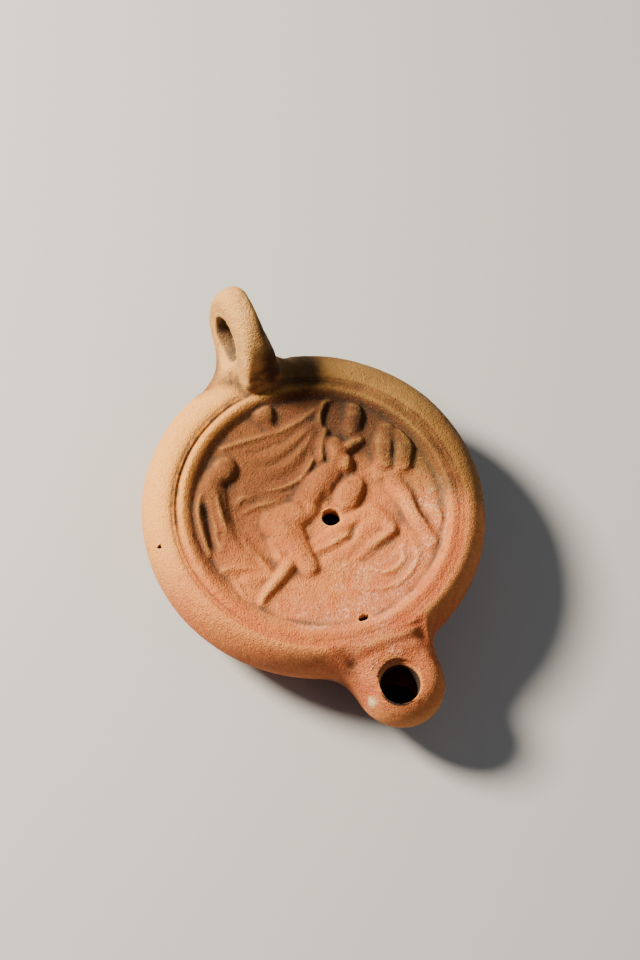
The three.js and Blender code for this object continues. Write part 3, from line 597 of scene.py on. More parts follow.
def under_rings(shell, outer, rows, points, inset, lower, base_r, floor):
    """Rings from the outline in to the base's circle, each joined to the one before."""
    for k in range(1, rows + 1):
        turn = math.pi / 2 * k / rows

        def place(u, turn=turn):
            x, y = outline(u, inset)
            cx, cy = on_circle(base_r, u)
            s = 1 - math.cos(turn)
            start = mix(WIDEST_Z, NOZZLE_WIDEST_Z, nozzle_share(u)) - lower
            return mix(x, cx, s), mix(y, cy, s), mix(start, floor, math.sin(turn))
        ring = shell.ring(points, place)
        shell.join(outer, ring, True)
        outer = ring
    return outer


def outer_shell(sizes):
    shell = Shell()
    steps = round(EDGE_R * MM / sizes.discus_step)
    centre = shell.add(0, 0, discus_height(np.zeros(1), np.zeros(1)))[0]
    inner = None
    for k in range(1, steps + 1):
        def place(u, k=k):
            x, y = on_circle(EDGE_R * k / steps, u)
            return x, y, discus_height(x, y)
        ring = shell.ring(6 * k, place)
        if inner:
            shell.join(ring, inner)
        else:
            shell.cap(ring, centre)
        inner = ring
    # shoulder and nozzle top: columns from the discus edge out to the outline
    n = len(inner[0]) - 1
    u = np.arange(n) / n
    m = nozzle_share(u)
    ax, ay = on_circle(EDGE_R, u)
    bx, by = outline(u)
    body_steps, crowded = (np.sin(np.linspace(0, math.pi / 2, rows))
                           for rows in (sizes.shoulder_rows, sizes.nozzle_rows))
    nozzle_steps = mix(np.linspace(0, 1, sizes.nozzle_rows), crowded, NOZZLE_CROWDED)
    columns = []
    for i in range(n):
        t = nozzle_steps if m[i] > 0 else body_steps
        x, y = mix(ax[i], bx[i], t), mix(ay[i], by[i], t)
        rolled = mix(t, 1 - np.clip(-plan_distance(x, y) / NOZZLE_EDGE, 0, 1), m[i])
        flat = mix(SHOULDER_Z, nozzle_top(y), m[i] * ease(t * NOZZLE_LEAVES))
        widest = mix(WIDEST_Z, NOZZLE_WIDEST_Z, m[i])
        z = mix(widest, flat, np.sqrt(np.maximum(1 - rolled ** 2, 0)))
        for bar_y, start, end, wide, deep in BAR_GROOVES:
            z = z - deep * bell(y - bar_y, wide) * ease((x - start) / 2) * ease((end - x) / 2)
        columns.append(([inner[0][i]] + shell.add(x[1:], y[1:], z[1:]), list(t)))
    for i in range(n):
        shell.zip(*columns[i], *columns[(i + 1) % n], flip=True)
    # underside: rings from the outline in to the base
    last = [ids[-1] for ids, _ in columns]
    outer = (last + last[:1], list(np.arange(n + 1) / n))
    outer = under_rings(shell, outer, sizes.under_rows, sizes.under_points, 0.0, 0.0, BASE_R, 0.0)
    for r, z in BASE_ROWS:
        ring = shell.ring(sizes.base_points, lambda u, r=r, z=z: (*on_circle(r, u), z))
        shell.join(outer, ring, True)
        outer = ring
    shell.cap(outer, shell.add(0, 0, 0)[0], True)
    return shell


def cavity_shell(sizes):
    """The hollow: oil chamber and the passage out under the wick hole."""
    shell = Shell()
    roof = DISCUS_Z - DISCUS_THICK
    centre = shell.add(0, 0, roof)[0]
    outer = None
    for t in CAVITY_SHARES:
        def place(u, t=t):
            x, y = outline(u, WALL)
            x, y = x * t, y * t
            m = nozzle_share(u) * ease((t - 0.6) * 4)
            away = np.clip((-plan_distance(x, y) - WALL) / CAVITY_ROUND, 0, 1)
            flat = mix(roof, SHOULDER_Z - WALL - 0.8, ease((np.hypot(x, y) - SLOPE_R) / 4) * (1 - m))
            side = mix(WIDEST_Z, NOZZLE_WIDEST_Z, m) - CAVITY_LOWER
            return x, y, mix(side, flat, np.sqrt(1 - (1 - away) ** 2))
        ring = shell.ring(sizes.cavity_points, place)
        if outer:
            shell.join(ring, outer)
        else:
            shell.cap(ring, centre)
        outer = ring
    outer = under_rings(shell, outer, CAVITY_ROWS, sizes.cavity_points,
                        WALL, CAVITY_LOWER, CAVITY_BASE_R, WALL)
    shell.cap(outer, shell.add(0, 0, WALL)[0], True)
    return shell


def off_body(out, z):
    """Distance outside the round body, from the distance to its axis and the height."""
    upper = z > WIDEST_Z
    centre = np.where(upper, EDGE_R - BODY_Y, BASE_R)
    wide = BODY_R - centre
    tall = np.where(upper, SHOULDER_Z - WIDEST_Z, WIDEST_Z)
    u, v = np.maximum(out - centre, 0) / wide, (z - WIDEST_Z) / tall
    n = np.hypot(u, v)
    return np.maximum(n - 1, 0) * n / (np.hypot(u / wide, v / tall) + 1e-9)


def filleted(plate, y, z, size):
    """The plate's half thickness with the fillet into the body added."""
    radius = size * ease((y - FILLET_FROM_Y) / (FILLET_FULL_Y - FILLET_FROM_Y))
    half = plate
    for _ in range(FILLET_ROUNDS):
        off = np.minimum(off_body(np.hypot(half, y - BODY_Y), z), radius)
        half = mix(half, plate + radius - np.sqrt(radius ** 2 - (radius - off) ** 2), FILLET_STEP)
    return half


def closed_curve(rows, degrees):
    """A smooth curve through rows of angle and value that close on themselves."""
    def row(k):
        turns, rest = divmod(k, len(rows))
        return rows[rest][0] + 360 * turns, rows[rest][1]
    i = sum(angle <= degrees for angle, _ in rows) - 1
    (a0, before), (a1, start), (a2, end), (a3, after) = (row(k) for k in (i - 1, i, i + 1, i + 2))
    t = (degrees - a1) / (a2 - a1)
    leave = (end - before) / (a2 - a0) * (a2 - a1)
    arrive = (after - start) / (a3 - a1) * (a2 - a1)
    return mix(start, end, t * t * (3 - 2 * t)) + t * (1 - t) * ((1 - t) * leave - t * arrive)


def handle_shell(sizes):
    shell = Shell()
    rings = []
    around, section = sizes.handle_around, sizes.handle_section
    b = 2 * math.pi * np.arange(section) / section
    c, s = np.cos(b), np.sin(b)
    for i in range(around):
        degrees = 360 * i / around
        a = math.radians(degrees)
        rim = HANDLE_R * closed_curve(RIM, degrees)
        front = ease(1 - abs(degrees - FRONT_DEGREES) / FRONT_SPREAD)
        n = np.where(c > 0, mix(EDGE_BACK, EDGE_FRONT, front), EDGE_HOLE)
        reach_out = (np.abs(c) ** n + np.abs(s) ** n) ** (-1 / n)
        r = (HOLE_R + rim) / 2 + (rim - HOLE_R) / 2 * reach_out * c
        y, z = HOLE_Y + r * math.cos(a), HOLE_Z + r * math.sin(a)
        level = (z - HOLE_Z) / HANDLE_R
        taper = 1 + LEFT_TAPER * np.clip((y - HOLE_Y) / (HOLE_Y - EDGE_R), -1, 1)
        plate = HANDLE_HALF * np.where(s > 0, lookup(RIGHT_SIDE, level), taper * lookup(LEFT_SIDE, level))
        half = filleted(plate, y, z, np.where(s > 0, FILLET_RIGHT, FILLET_LEFT))
        rings.append(shell.add(HANDLE_X + half * reach_out * s, y, z))
    for i in range(around):
        here, following = rings[i], rings[(i + 1) % around]
        for j in range(section):
            k = (j + 1) % section
            shell.faces.append((here[j], following[k], here[k]))
            shell.faces.append((here[j], following[j], following[k]))
    return shell


def cutter_shell(place, rows, points, squash=1.0, turn=0.0):
    """An upright cutter from rows of radius and height at a place."""
    shell = Shell()
    c, s = math.cos(math.radians(turn)), math.sin(math.radians(turn))
    below = None
    for r, z in rows:
        def spot(u, r=r, z=z):
            p, q = on_circle(r, u)
            q = q * squash
            return place[0] + p * c - q * s, place[1] + p * s + q * c, z
        ring = shell.ring(points, spot)
        if below:
            shell.join(below, ring)
        else:
            shell.cap(ring, shell.add(*place, z)[0], True)
        below = ring
    shell.cap(below, shell.add(*place, rows[-1][1])[0])
    return shell


def plain_mesh(made, name):
    """The object's mesh with its modifiers applied, as a new plain object."""
    depsgraph = bpy.context.evaluated_depsgraph_get()
    mesh = bpy.data.meshes.new_from_object(made.evaluated_get(depsgraph))
    old = made.data
    made.modifiers.clear()
    made.data = mesh
    bpy.data.meshes.remove(old)
    mesh.name = name
    made.name = name
    return made


def combine(base, other, operation):
    """Joins or cuts base by other, which is used up."""
    step = base.modifiers.new(operation.lower(), "BOOLEAN")
    step.operation = operation
    step.solver = "MANIFOLD"
    step.object = other
    plain_mesh(base, base.name)
    mesh = other.data
    bpy.data.objects.remove(other)
    bpy.data.meshes.remove(mesh)
    if not base.data.polygons:
        raise RuntimeError("nothing was left after a boolean step")


def read(items, key, width=1, kind=float):
    """One property of all the items, as an array."""
    values = np.empty(len(items) * width, kind)
    items.foreach_get(key, values)
    return values.reshape(-1, width) if width > 1 else values


def mesh_arrays(mesh):
    return read(mesh.vertices, "co", 3), read(mesh.edges, "vertices", 2, np.int64)


def evened(values, edges, times, keep=0.5):
    """Values spread over the mesh's edges, a few times."""
    n = len(values)
    ends = np.r_[edges[:, 0], edges[:, 1]]
    others = np.r_[edges[:, 1], edges[:, 0]]
    degree = np.maximum(np.bincount(ends, minlength=n), 1)

    def mean(column):
        return np.bincount(ends, column[others], n) / degree
    for _ in range(times):
        spread = mean(values) if values.ndim == 1 else np.stack([mean(column) for column in values.T], 1)
        values = values * keep + spread * (1 - keep)
    return values


def smooth_seam(mesh, width):
    """Softens the line where the handle meets the body."""
    points, edges = mesh_arrays(mesh)
    n = len(points)
    kind = read(mesh.polygons, "material_index", kind=np.int32)
    owner = np.repeat(kind, read(mesh.polygons, "loop_total", kind=np.int32))
    corners = read(mesh.loops, "vertex_index", kind=np.int32)
    on_body, on_handle = (np.bincount(corners, owner == part, n) > 0 for part in (0, 1))
    seam = points[on_handle & on_body]
    near = np.flatnonzero((points[:, 1] > SEAM_FROM_Y) & (np.abs(points[:, 0]) < SEAM_HALF_X))
    away = np.full(n, 1.0)
    for start in range(0, len(near), SEAM_BLOCK):
        block = near[start:start + SEAM_BLOCK]
        away[block] = np.sqrt(((points[block, None] - seam[None]) ** 2).sum(2)).min(1)
    share = ease(1 - away / width)[:, None]
    for _ in range(SEAM_PASSES):
        points = mix(points, evened(points, edges, 1, SEAM_KEEP), share)
    mesh.vertices.foreach_set("co", points.ravel())
    mesh.update()


def mark_hollows(mesh):
    """Stores how deep each point lies below its surroundings, in millimetres, narrow and broad."""
    points, edges = mesh_arrays(mesh)
    normals = read(mesh.vertices, "normal", 3)
    for name, times in HOLLOW_SPREADS:
        deep = ((evened(points, edges, times) - points) * normals).sum(1) / MM
        layer = mesh.attributes.new(name, "FLOAT", "POINT")
        layer.data.foreach_set("value", evened(deep, edges, 2))


def add_node(tree, kind, inputs=(), **settings):
    """A node with its settings; inputs are (socket, value or output to link) pairs."""
    node = tree.nodes.new(kind)
    for key, value in settings.items():
        setattr(node, key, value)
    for socket, value in inputs:
        if isinstance(value, bpy.types.NodeSocket):
            tree.links.new(value, node.inputs[socket])
        else:
            node.inputs[socket].default_value = value
    return node


def math_node(tree, operation, a, b=0.0):
    return add_node(tree, "ShaderNodeMath", ((0, a), (1, b)), operation=operation).outputs[0]


def ramp(tree, value, low, high, start, end, kind="SMOOTHSTEP"):
    inputs = ((0, value), (1, low), (2, high), (3, start), (4, end))
    return add_node(tree, "ShaderNodeMapRange", inputs, interpolation_type=kind).outputs[0]


def grain_tree():
    """Geometry nodes: uneven hand-moulded form, gritty grain and small pits."""
    tree = bpy.data.node_groups.new("clay_grain", "GeometryNodeTree")
    sockets = [("Geometry", "Geometry")] + [(name, "Float") for name in GRAIN_INPUTS + ("Seed",)]
    for name, kind in sockets + [("Material", "Material")]:
        tree.interface.new_socket(name, in_out="INPUT", socket_type="NodeSocket" + kind)
    tree.interface.new_socket("Geometry", in_out="OUTPUT", socket_type="NodeSocketGeometry")
    source = add_node(tree, "NodeGroupInput").outputs
    place = add_node(tree, "GeometryNodeInputPosition").outputs[0]
    normal = add_node(tree, "GeometryNodeInputNormal").outputs[0]

    def texture(kind, size, inputs=(), **settings):
        """A texture whose pattern takes its size from an input."""
        scale = math_node(tree, "DIVIDE", 1.0, source[size])
        shared = (("Vector", place), ("W", source["Seed"]), ("Scale", scale))
        return add_node(tree, kind, shared + inputs, **settings).outputs[0]

    def noise(size, detail):
        pattern = texture("ShaderNodeTexNoise", size, (("Detail", detail),), noise_dimensions="4D")
        return math_node(tree, "SUBTRACT", pattern, 0.5)

    swell = math_node(tree, "MULTIPLY", noise("Swell Size", 1.0), source["Swell Height"])
    grain = math_node(tree, "MULTIPLY", noise("Grain Size", 3.0), source["Grain Height"])
    cells = texture("ShaderNodeTexVoronoi", "Pit Size", voronoi_dimensions="4D")
    pit = math_node(tree, "MULTIPLY", ramp(tree, cells, 0.12, 0.3, 1.0, 0.0), source["Pit Depth"])
    total = math_node(tree, "SUBTRACT", math_node(tree, "ADD", swell, grain), pit)
    height = add_node(tree, "ShaderNodeSeparateXYZ", ((0, place),)).outputs[2]
    above = ramp(tree, height, GRAIN_FROM_Z, GRAIN_FULL_Z, 0.0, 1.0, "LINEAR")
    total = math_node(tree, "MULTIPLY", total, above)
    inputs = ((0, normal), ("Scale", total))
    offset = add_node(tree, "ShaderNodeVectorMath", inputs, operation="SCALE").outputs[0]
    moved = add_node(tree, "GeometryNodeSetPosition", (("Geometry", source["Geometry"]), ("Offset", offset)))
    real = add_node(tree, "GeometryNodeRealizeInstances", ((0, moved.outputs[0]),))
    inputs = ((0, real.outputs[0]), ("Material", source["Material"]))
    finished = add_node(tree, "GeometryNodeSetMaterial", inputs)
    add_node(tree, "NodeGroupOutput", ((0, finished.outputs[0]),))
    return tree


def linear(colour):
    """A linear colour with alpha from an sRGB one given as hex digits."""
    parts = [int(colour[i:i + 2], 16) / 255 for i in (0, 2, 4)]
    return [c / 12.92 if c <= 0.04045 else ((c + 0.055) / 1.055) ** 2.4 for c in parts] + [1.0]


# spots reach further up and down than sideways
SPOT_FLAT = 0.35
# marks as x, y, z, inner and outer reach in millimetres, and for dark ones their strength
LIME_SPOT = (-7.4, -47.6, 20.5, 1.2, 2.5)
STAINS = (
    (-2.5, 35.0, 27.5, 1.2, 2.6, 0.5), (-6.0, 40.5, 27.0, 0.8, 2.0, 0.45), (36.4, -5.8, 24.5, 0.5, 1.1, 0.75),
    (37.3, -1.2, 24.5, 0.2, 0.7, 0.7), (30.0, 24.0, 24.5, 0.1, 0.6, 0.6), (-31.0, 20.0, 24.5, 0.1, 0.5, 0.5),
    (-20.0, -30.5, 24.5, 0.1, 0.6, 0.4), (-35.5, -9.0, 24.5, 0.1, 0.5, 0.4),
)
# painted shade, partly grime, on the handle's front face (first two), and the handle's painted cast shadow on
# the shoulder by its right foot (last)
HANDLE_SHADE_AND_GRIME = (
    (3.2, 36.4, 34.0, 2.4, 5.8, 0.95), (3.6, 41.4, 42.0, 2.2, 5.6, 0.85), (11.5, 36.0, 25.0, 3.0, 8.0, 0.7),
)
# specks as colour, size in millimetres, detail, the noise's bounds and strength
SPECKS = (("rust", 0.5, 2.0, 0.3, 0.68, 0.5), ("pale", 0.55, 2.0, 0.62, 0.72, 0.4),
          ("brown", 0.4, 2.0, 0.6, 0.7, 0.5), ("dirt", 0.7, 3.0, 0.38, 0.3, 0.65))


def fired_clay(colours):
    """The clay's material: zones, specks, crusts, dirt by hollows, washes, painted shade and light, and
    single marks.
    """
    material = bpy.data.materials.new("terracotta_moulded_worn")
    material.use_nodes = True
    tree = material.node_tree
    tree.nodes.clear()
    place = add_node(tree, "ShaderNodeTexCoord").outputs["Object"]

    def times(a, b):
        return math_node(tree, "MULTIPLY", a, b)

    def plus(a, b):
        return math_node(tree, "ADD", a, b)

    def vector(operation, a, b=(0.0, 0.0, 0.0), output=1):
        return add_node(tree, "ShaderNodeVectorMath", ((0, a), (1, b)), operation=operation).outputs[output]

    def noise(size, detail=4.0, rough=0.55, warp=0.0):
        inputs = (("Vector", place), ("Scale", 1 / (size * MM)), ("Detail", detail), ("Roughness", rough),
                  ("Distortion", warp))
        return add_node(tree, "ShaderNodeTexNoise", inputs).outputs[0]

    def band(value, low, high, start=0.0, end=1.0):
        return ramp(tree, value, low, high, start, end)

    base = tuple(colours.buff)

    def lay(colour, amount, kind="MIX"):
        """Lays a colour over those before it, by an amount."""
        nonlocal base
        inputs = ((0, amount), (6, base), (7, tuple(getattr(colours, colour))))
        base = add_node(tree, "ShaderNodeMix", inputs, data_type="RGBA", blend_type=kind).outputs[2]

    def towards(way, size=0, detail=0.0, by=0.0):
        """How far the place lies that way, in metres, shifted to and fro by noise."""
        far = vector("DOT_PRODUCT", place, way)
        return plus(far, times(math_node(tree, "SUBTRACT", noise(size, detail), 0.5), by)) if size else far

    squat = vector("MULTIPLY", place, (1.0, 1.0, SPOT_FLAT), 0)

    def spot(x, y, z, low, high):
        away = vector("DISTANCE", squat, (x * MM, y * MM, z * MM * SPOT_FLAT))
        return band(plus(away, times(noise(1.6), 1.6 * MM)), low * MM, high * MM, 1.0, 0.0)

    # broad colour: buff at the back and left, tan on the discus, orange towards the nozzle
    along = towards((0.25, -0.97, 0.0), 22, 3.0, 0.03)
    lay("tan", band(along, -0.028, -0.002))
    lay("orange", band(along, 0.008, 0.036))
    right = towards((0.75, 0.66, 0.0), 8, 4.0, 0.02)
    lay("olive", band(right, 0.012, 0.024))
    lay("pale", band(noise(5, 5.0), 0.4, 0.75, 0.0, 0.28))
    lay("rust", band(noise(3.2, 5.0, 0.6, 0.8), 0.54, 0.74, 0.0, 0.5))
    # the handle and the back of the shoulder painted paler, a painted light on the handle's lit left side;
    # the upper part of the discus browner
    high_up = towards((0.0, 0.35, 1.0))
    lay("lit_cream", band(high_up, 0.036, 0.042, 0.0, 0.55))
    flat = vector("MULTIPLY", place, (1.0, 1.0, 0.0), 0)
    from_centre = vector("LENGTH", flat)
    in_discus = band(from_centre, 0.0305, 0.0325, 1.0, 0.0)
    upward = towards((-0.25, 0.97, 0.0), 9, 4.0, 0.02)
    lay("brown", times(in_discus, band(upward, -0.006, 0.012, 0.0, 0.78)))
    for name, size, detail, low, high, share in SPECKS:
        lay(name, band(noise(size, detail), low, high, 0.0, share))
    # salt crusts on the lower right of the discus and round its rim
    lower = times(in_discus, band(upward, -0.008, -0.024, 0.0, 0.75))
    crusted = math_node(tree, "MAXIMUM", spot(26, -9, 23, 3, 11), lower)
    crusted = math_node(tree, "MAXIMUM", crusted, times(spot(0, -37, 24, 4, 14), 0.8))
    crusted = times(crusted, band(noise(4, 3.0), 0.4, 0.6))
    lay("salt", times(crusted, band(noise(0.7, 4.0), 0.5, 0.7, 0.06, 0.6)))
    # hollows hold grey dirt, proud edges are rubbed pale
    fine, broad = (add_node(tree, "ShaderNodeAttribute", attribute_name=name).outputs["Fac"]
                   for name, _ in HOLLOW_SPREADS)
    worn = times(band(noise(6, 3.0), 0.35, 0.65, 0.25, 1.0), band(along, 0.03, 0.036, 1.0, 0.2))
    lay("dirt", times(band(broad, 0.05, 0.45, 0.0, 0.6), worn))
    lay("dirt", times(band(fine, 0.02, 0.09, 0.0, 0.55), worn))
    lay("pale", band(fine, -0.03, -0.1, 0.0, 0.3))
    # painted shade over the back right and over the upper part of the discus, where its dish slopes away from
    # the light; a wash reddening the body outside the discus towards the front
    shaded_back_right = times(band(right, 0.013, 0.028), band(high_up, 0.036, 0.042, 1.0, 0.15))
    lay("back_right_shade", shaded_back_right, "MULTIPLY")
    lay("upper_discus_shade", times(in_discus, band(upward, -0.004, 0.013)), "MULTIPLY")
    outside = times(band(from_centre, 0.0305, 0.0325), band(along, -0.012, 0.006))
    lay("orange_wash", outside, "MULTIPLY")
    # dirt and painted shade in the doubled groove on the handle's side
    second = GROOVE_R + GROOVE_GAP
    groove_dirt_and_shade = times(band(from_centre, (GROOVE_R - 0.6) * MM, GROOVE_R * MM),
                   band(from_centre, second * MM, (second + 0.5) * MM, 1.0, 0.0))
    groove_dirt_and_shade = times(groove_dirt_and_shade, band(towards((-0.5, 0.87, 0.0)), 0.016, 0.031, 0.0, 0.75))
    lay("dirt", times(groove_dirt_and_shade, band(noise(2.2, 4.0), 0.38, 0.58, 0.25, 1.0)))
    # marks seen on the lamp: a pale spot on the nozzle and stains on the shoulder; then painted shade, partly
    # grime, on the handle's front, and the handle's painted cast shadow on the shoulder by its right foot
    lay("lime", spot(*LIME_SPOT))
    for colour, marks in (("dirt", STAINS), ("shade_and_grime", HANDLE_SHADE_AND_GRIME)):
        for *where, share in marks:
            lay(colour, times(spot(*where), share))
    # the wall of the wick hole darkened
    from_wick = vector("DISTANCE", flat, (WICK[0] * MM, WICK[1] * MM, 0.0))
    lip = nozzle_top(WICK[1]) * MM
    wick_wall_darkened = times(band(from_wick, (WICK_R + 0.4) * MM, (WICK_R + 0.7) * MM, 0.97, 0.0),
                   band(towards((0.0, 0.0, 1.0)), lip - 0.0011, lip - 0.0006, 1.0, 0.0))
    lay("wick_wall_dark", wick_wall_darkened)
    # grey dirt on the wall of the finger hole
    across = vector("MULTIPLY", place, (0.0, 1.0, 1.0), 0)
    from_bore = vector("DISTANCE", across, (0.0, HOLE_Y * MM, HOLE_Z * MM))
    in_bore = band(from_bore, (HOLE_R + 0.1) * MM, (HOLE_R + 0.7) * MM, 1.0, 0.0)
    lay("dirt", times(in_bore, band(noise(3, 3.0), 0.25, 0.6, 0.45, 0.95)))
    # grit, finer than the mesh can hold
    inputs = (("Vector", place), ("Scale", 1 / (0.55 * MM)))
    grains = add_node(tree, "ShaderNodeTexVoronoi", inputs).outputs[0]
    grit = plus(times(noise(0.35, 2.0, 0.6), 0.8), times(grains, 0.2))
    grit = plus(grit, times(noise(1.6, 4.0), 0.55))
    inputs = (("Strength", 1.0), ("Distance", BUMP_DISTANCE), ("Height", grit))
    bump = add_node(tree, "ShaderNodeBump", inputs).outputs[0]
    inputs = (("Base Color", base), ("Roughness", CLAY_ROUGH), ("Normal", bump),
              ("Specular IOR Level", CLAY_SHINE))
    shader = add_node(tree, "ShaderNodeBsdfPrincipled", inputs)
    add_node(tree, "ShaderNodeOutputMaterial", ((0, shader.outputs[0]),))
    return material


def plain_material(name, colour, roughness):
    material = bpy.data.materials.new(name)
    material.use_nodes = True
    shader = material.node_tree.nodes["Principled BSDF"]
    shader.inputs["Base Color"].default_value = colour
    shader.inputs["Roughness"].default_value = roughness
    return material


def colour_property(name, description, digits):
    return FloatVectorProperty(name=name, description=description, subtype="COLOR", size=4, min=0, max=1,
                               default=linear(digits))


def metres(name, description, default, **limits):
    return FloatProperty(name=name, description=description, default=default, unit="LENGTH",
                         precision=5, **limits)


def number(name, description, default):
    return IntProperty(name=name, description=description, default=default)


class LampSizes(bpy.types.PropertyGroup):
    """Fineness and surface of the clay."""
    discus_step: metres("Discus Step", "Spacing of the discus mesh", 0.00032, min=0.0002, max=0.002)
    shoulder_rows: number("Shoulder Rows", "Rows of points over the shoulder", 16)
    nozzle_rows: number("Nozzle Rows", "Rows of points along the nozzle", 46)
    under_rows: number("Underside Rows", "Rows of points from the outline to the base", 34)
    under_points: number("Underside Points", "Points round the underside", 300)
    base_points: number("Base Points", "Points round the base", 150)
    cavity_points: number("Cavity Points", "Points round the hollow", 160)
    handle_around: number("Handle Around", "Sections round the finger hole", 150)
    handle_section: number("Handle Section", "Points round one section", 56)
    seam: metres("Seam Width", "Width over which the handle's seam is softened", 0.0024)
    swell_size: metres("Swell Size", "Size of the form's unevenness", 0.018)
    swell_height: metres("Swell Height", "Height of the form's unevenness", 0.0004)
    grain_size: metres("Grain Size", "Size of the clay's grit", 0.0011)
    grain_height: metres("Grain Height", "Height of the clay's grit", 0.0002)
    pit_size: metres("Pit Size", "Spacing of the small pits", 0.004)
    pit_depth: metres("Pit Depth", "Depth of the small pits", 0.00012)


class ClayColours(bpy.types.PropertyGroup):
    """Colours of the fired clay and what lies on it, with some painted shade and painted light."""
    buff: colour_property("Buff", "Handle and upper left shoulder", "dc9436")
    tan: colour_property("Tan", "Discus", "be6e34")
    orange: colour_property("Orange", "Nozzle and lower shoulder", "b46438")
    brown: colour_property("Brown", "Upper left of the discus", "5c3a20")
    olive: colour_property("Olive", "Upper right shoulder", "664a1e")
    pale: colour_property("Pale", "Rubbed edges and salty specks", "e2aa5c")
    rust: colour_property("Rust", "Redder smears and specks", "b0562e")
    dirt: colour_property("Dirt", "Grey dirt in the hollows", "4e3c2c")
    lime: colour_property("Lime", "The pale spot on the nozzle", "d2bc84")
    # painted shade, partly grime: the handle's front face, and the handle's cast shadow on the shoulder
    shade_and_grime: colour_property("Umber", "Grime on the handle's front and foot", "3a220f")
    # painted shade on the back right of the shoulder
    back_right_shade: colour_property("Olive Wash", "Darkens the back right", "c4c8b4")
    # painted shade on the upper part of the discus, where its dish slopes away from the light
    upper_discus_shade: colour_property("Brown Wash", "Darkens the upper part of the discus", "cec8c0")
    orange_wash: colour_property("Orange Wash", "Reddens the body outside the discus", "faebdf")
    # painted light: paler colour for the handle's lit left side
    lit_cream: colour_property("Cream", "The handle", "f2bc68")
    # darkens the wall of the wick hole
    wick_wall_dark: colour_property("Soot", "Wall of the wick hole", "241812")
    salt: colour_property("Salt", "White crusts on the lower right", "e8ccb2")


class StageSettings(bpy.types.PropertyGroup):
    """Floor and lights."""
    floor: colour_property("Floor", "The plain floor", "a9a7a5")
    key: FloatProperty(name="Key Light", description="Power of the key light", default=24.5, subtype="POWER")
    fill: FloatProperty(name="Fill Light", description="Power of the fill light", default=0.7,
                        subtype="POWER")
    sky: FloatProperty(name="Sky", description="Strength of the even light all round", default=0.15)


def hole_cutters():
    """Each cutter's name, place, rows of radius and height, points, squash and turn."""
    top = nozzle_top(WICK[1])
    wide = WICK_R + WICK_BEVEL
    wick_rows = ((WICK_R, NOZZLE_WIDEST_Z), (WICK_R, top - 3), (WICK_R, top - 1.6),
                 (WICK_R + 0.08, top - 1.0), (WICK_R + 0.3, top - 0.45), (wide, top - 0.05),
                 (wide + 0.5, top + 0.2), (wide + 0.6, top + 4))
    return (("wick_cutter", WICK, wick_rows, 72),
            ("fill_cutter", FILL, ((FILL_R, WIDEST_Z), (FILL_R, HOLE_Z)), 40),
            ("air_cutter", AIR, ((AIR_LONG, WIDEST_Z), (AIR_LONG, HOLE_Z)), 11, AIR_SHORT / AIR_LONG, 12),
            ("nick_cutter", NICK, NICK_ROWS, 9, 0.5, -24))


class LAMP_OT_clay(bpy.types.Operator):
    """Builds the lamp's clay body with its relief, holes, handle and hollow"""
    bl_idname = "lamp.clay"
    bl_label = "Clay Body"

    def execute(self, context):
        sizes = context.scene.lamp_sizes
        body = outer_shell(sizes).object("lamp_clay")
        combine(body, handle_shell(sizes).object("handle", 1), "UNION")
        smooth_seam(body.data, sizes.seam)
        combine(body, cavity_shell(sizes).object("cavity"), "DIFFERENCE")
        for name, *cutter in hole_cutters():
            combine(body, cutter_shell(*cutter).object(name), "DIFFERENCE")
        clay = fired_clay(context.scene.clay_colours)
        grain = body.modifiers.new("grain", "NODES")
        grain.node_group = grain_tree()
        values = {name: getattr(sizes, name.lower().replace(" ", "_")) for name in GRAIN_INPUTS}
        values.update({"Seed": GRAIN_SEED, "Material": clay})
        for item in grain.node_group.interface.items_tree:
            if item.in_out == "INPUT" and item.name in values:
                grain[item.identifier] = values[item.name]
        plain_mesh(body, "lamp_clay")
        body.data.materials.clear()
        body.data.materials.append(clay)
        for key, value in (("material_index", 0), ("use_smooth", True)):
            body.data.polygons.foreach_set(key, [value] * len(body.data.polygons))
        body.data.update()
        mark_hollows(body.data)
        for name in CLAY_PARTS:
            bpy.data.materials.remove(bpy.data.materials[name])
        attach(body, "root")
        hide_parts("lamp")
        return {"FINISHED"}


def area_light(name, watts, setup):
    """A round light with its place, size and colour, aimed at the lamp."""
    place, size, colour = setup
    light = bpy.data.lights.new(name, "AREA")
    light.shape = "DISK"
    light.size = size
    light.energy = watts
    light.color = colour
    made = bpy.data.objects.new(name, light)
    bpy.context.scene.collection.objects.link(made)
    made.location = place
    toward = Vector(np.array(LIGHT_TARGET) - np.array(place))
    made.rotation_euler = toward.to_track_quat("-Z", "Y").to_euler()


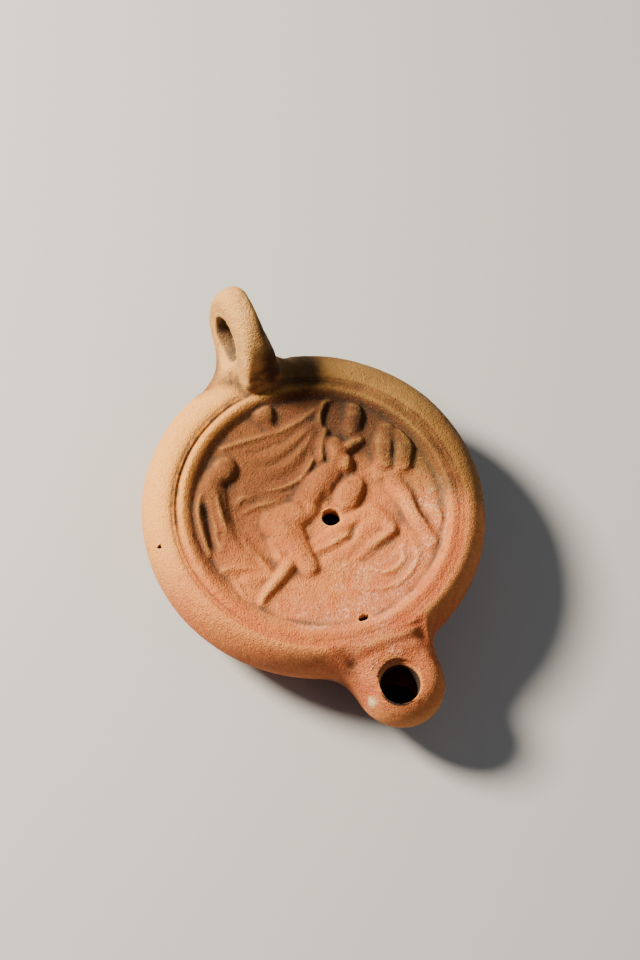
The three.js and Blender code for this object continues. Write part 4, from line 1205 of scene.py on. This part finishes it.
class LAMP_OT_stage(bpy.types.Operator):
    """Adds the floor, the lights and the camera"""
    bl_idname = "lamp.stage"
    bl_label = "Stage"

    def execute(self, context):
        settings = context.scene.stage_settings
        mesh = bpy.data.meshes.new("floor")
        corners = [(FLOOR_HALF * x, FLOOR_HALF * y, 0) for x, y in ((-1, -1), (1, -1), (1, 1), (-1, 1))]
        mesh.from_pydata(corners, [], [(0, 1, 2, 3)])
        floor = bpy.data.objects.new("floor", mesh)
        mesh.materials.append(plain_material("floor_paper_matte", settings.floor, FLOOR_ROUGH))
        floor.location.z = -FLOOR_SINK
        context.scene.collection.objects.link(floor)
        area_light("key", settings.key, KEY_LIGHT)
        area_light("fill", settings.fill, FILL_LIGHT)
        world = context.scene.world or bpy.data.worlds.new("sky")
        context.scene.world = world
        world.use_nodes = True
        background = world.node_tree.nodes["Background"]
        background.inputs[0].default_value = SKY_COLOUR
        background.inputs[1].default_value = settings.sky
        a, e, roll = (math.radians(v) for v in (CAMERA_AZIMUTH, CAMERA_ELEVATION, CAMERA_ROLL))
        back = Vector((math.sin(a) * math.cos(e), -math.cos(a) * math.cos(e), math.sin(e)))
        right = Vector((math.cos(a), math.sin(a), 0))
        up = back.cross(right)
        turned_right = right * math.cos(roll) + up * math.sin(roll)
        turned_up = up * math.cos(roll) - right * math.sin(roll)
        lens = bpy.data.cameras.new("camera")
        lens.sensor_width = 36
        lens.lens = CAMERA_LENS
        camera = bpy.data.objects.new("camera", lens)
        context.scene.collection.objects.link(camera)
        turn = Matrix((turned_right, turned_up, back)).transposed().to_4x4()
        camera.matrix_world = Matrix.Translation(Vector(CAMERA_TARGET) + back * CAMERA_AWAY) @ turn
        context.scene.camera = camera
        return {"FINISHED"}


class LAMP_PT_panel(bpy.types.Panel):
    """Lists the lamp's pieces and settings"""
    bl_idname = "LAMP_PT_panel"
    bl_label = "Oil Lamp"
    bl_space_type = "VIEW_3D"
    bl_region_type = "UI"
    bl_category = "Oil Lamp"

    def draw(self, context):
        layout = self.layout
        for group in (context.scene.lamp_sizes, context.scene.clay_colours, context.scene.stage_settings):
            for name in group.__annotations__:
                layout.prop(group, name)
        layout.operator(LAMP_OT_clay.bl_idname)
        layout.operator(LAMP_OT_stage.bl_idname)


CLASSES = (LampSizes, ClayColours, StageSettings, LAMP_OT_clay, LAMP_OT_stage, LAMP_PT_panel)


def register():
    for cls in CLASSES:
        bpy.utils.register_class(cls)
    bpy.types.Scene.lamp_sizes = PointerProperty(type=LampSizes)
    bpy.types.Scene.clay_colours = PointerProperty(type=ClayColours)
    bpy.types.Scene.stage_settings = PointerProperty(type=StageSettings)


def unregister():
    del bpy.types.Scene.lamp_sizes
    del bpy.types.Scene.clay_colours
    del bpy.types.Scene.stage_settings
    for cls in reversed(CLASSES):
        bpy.utils.unregister_class(cls)


def main():
    register()
    bpy.ops.lamp.clay()
    bpy.ops.lamp.stage()


if __name__ == "__main__":
    main()
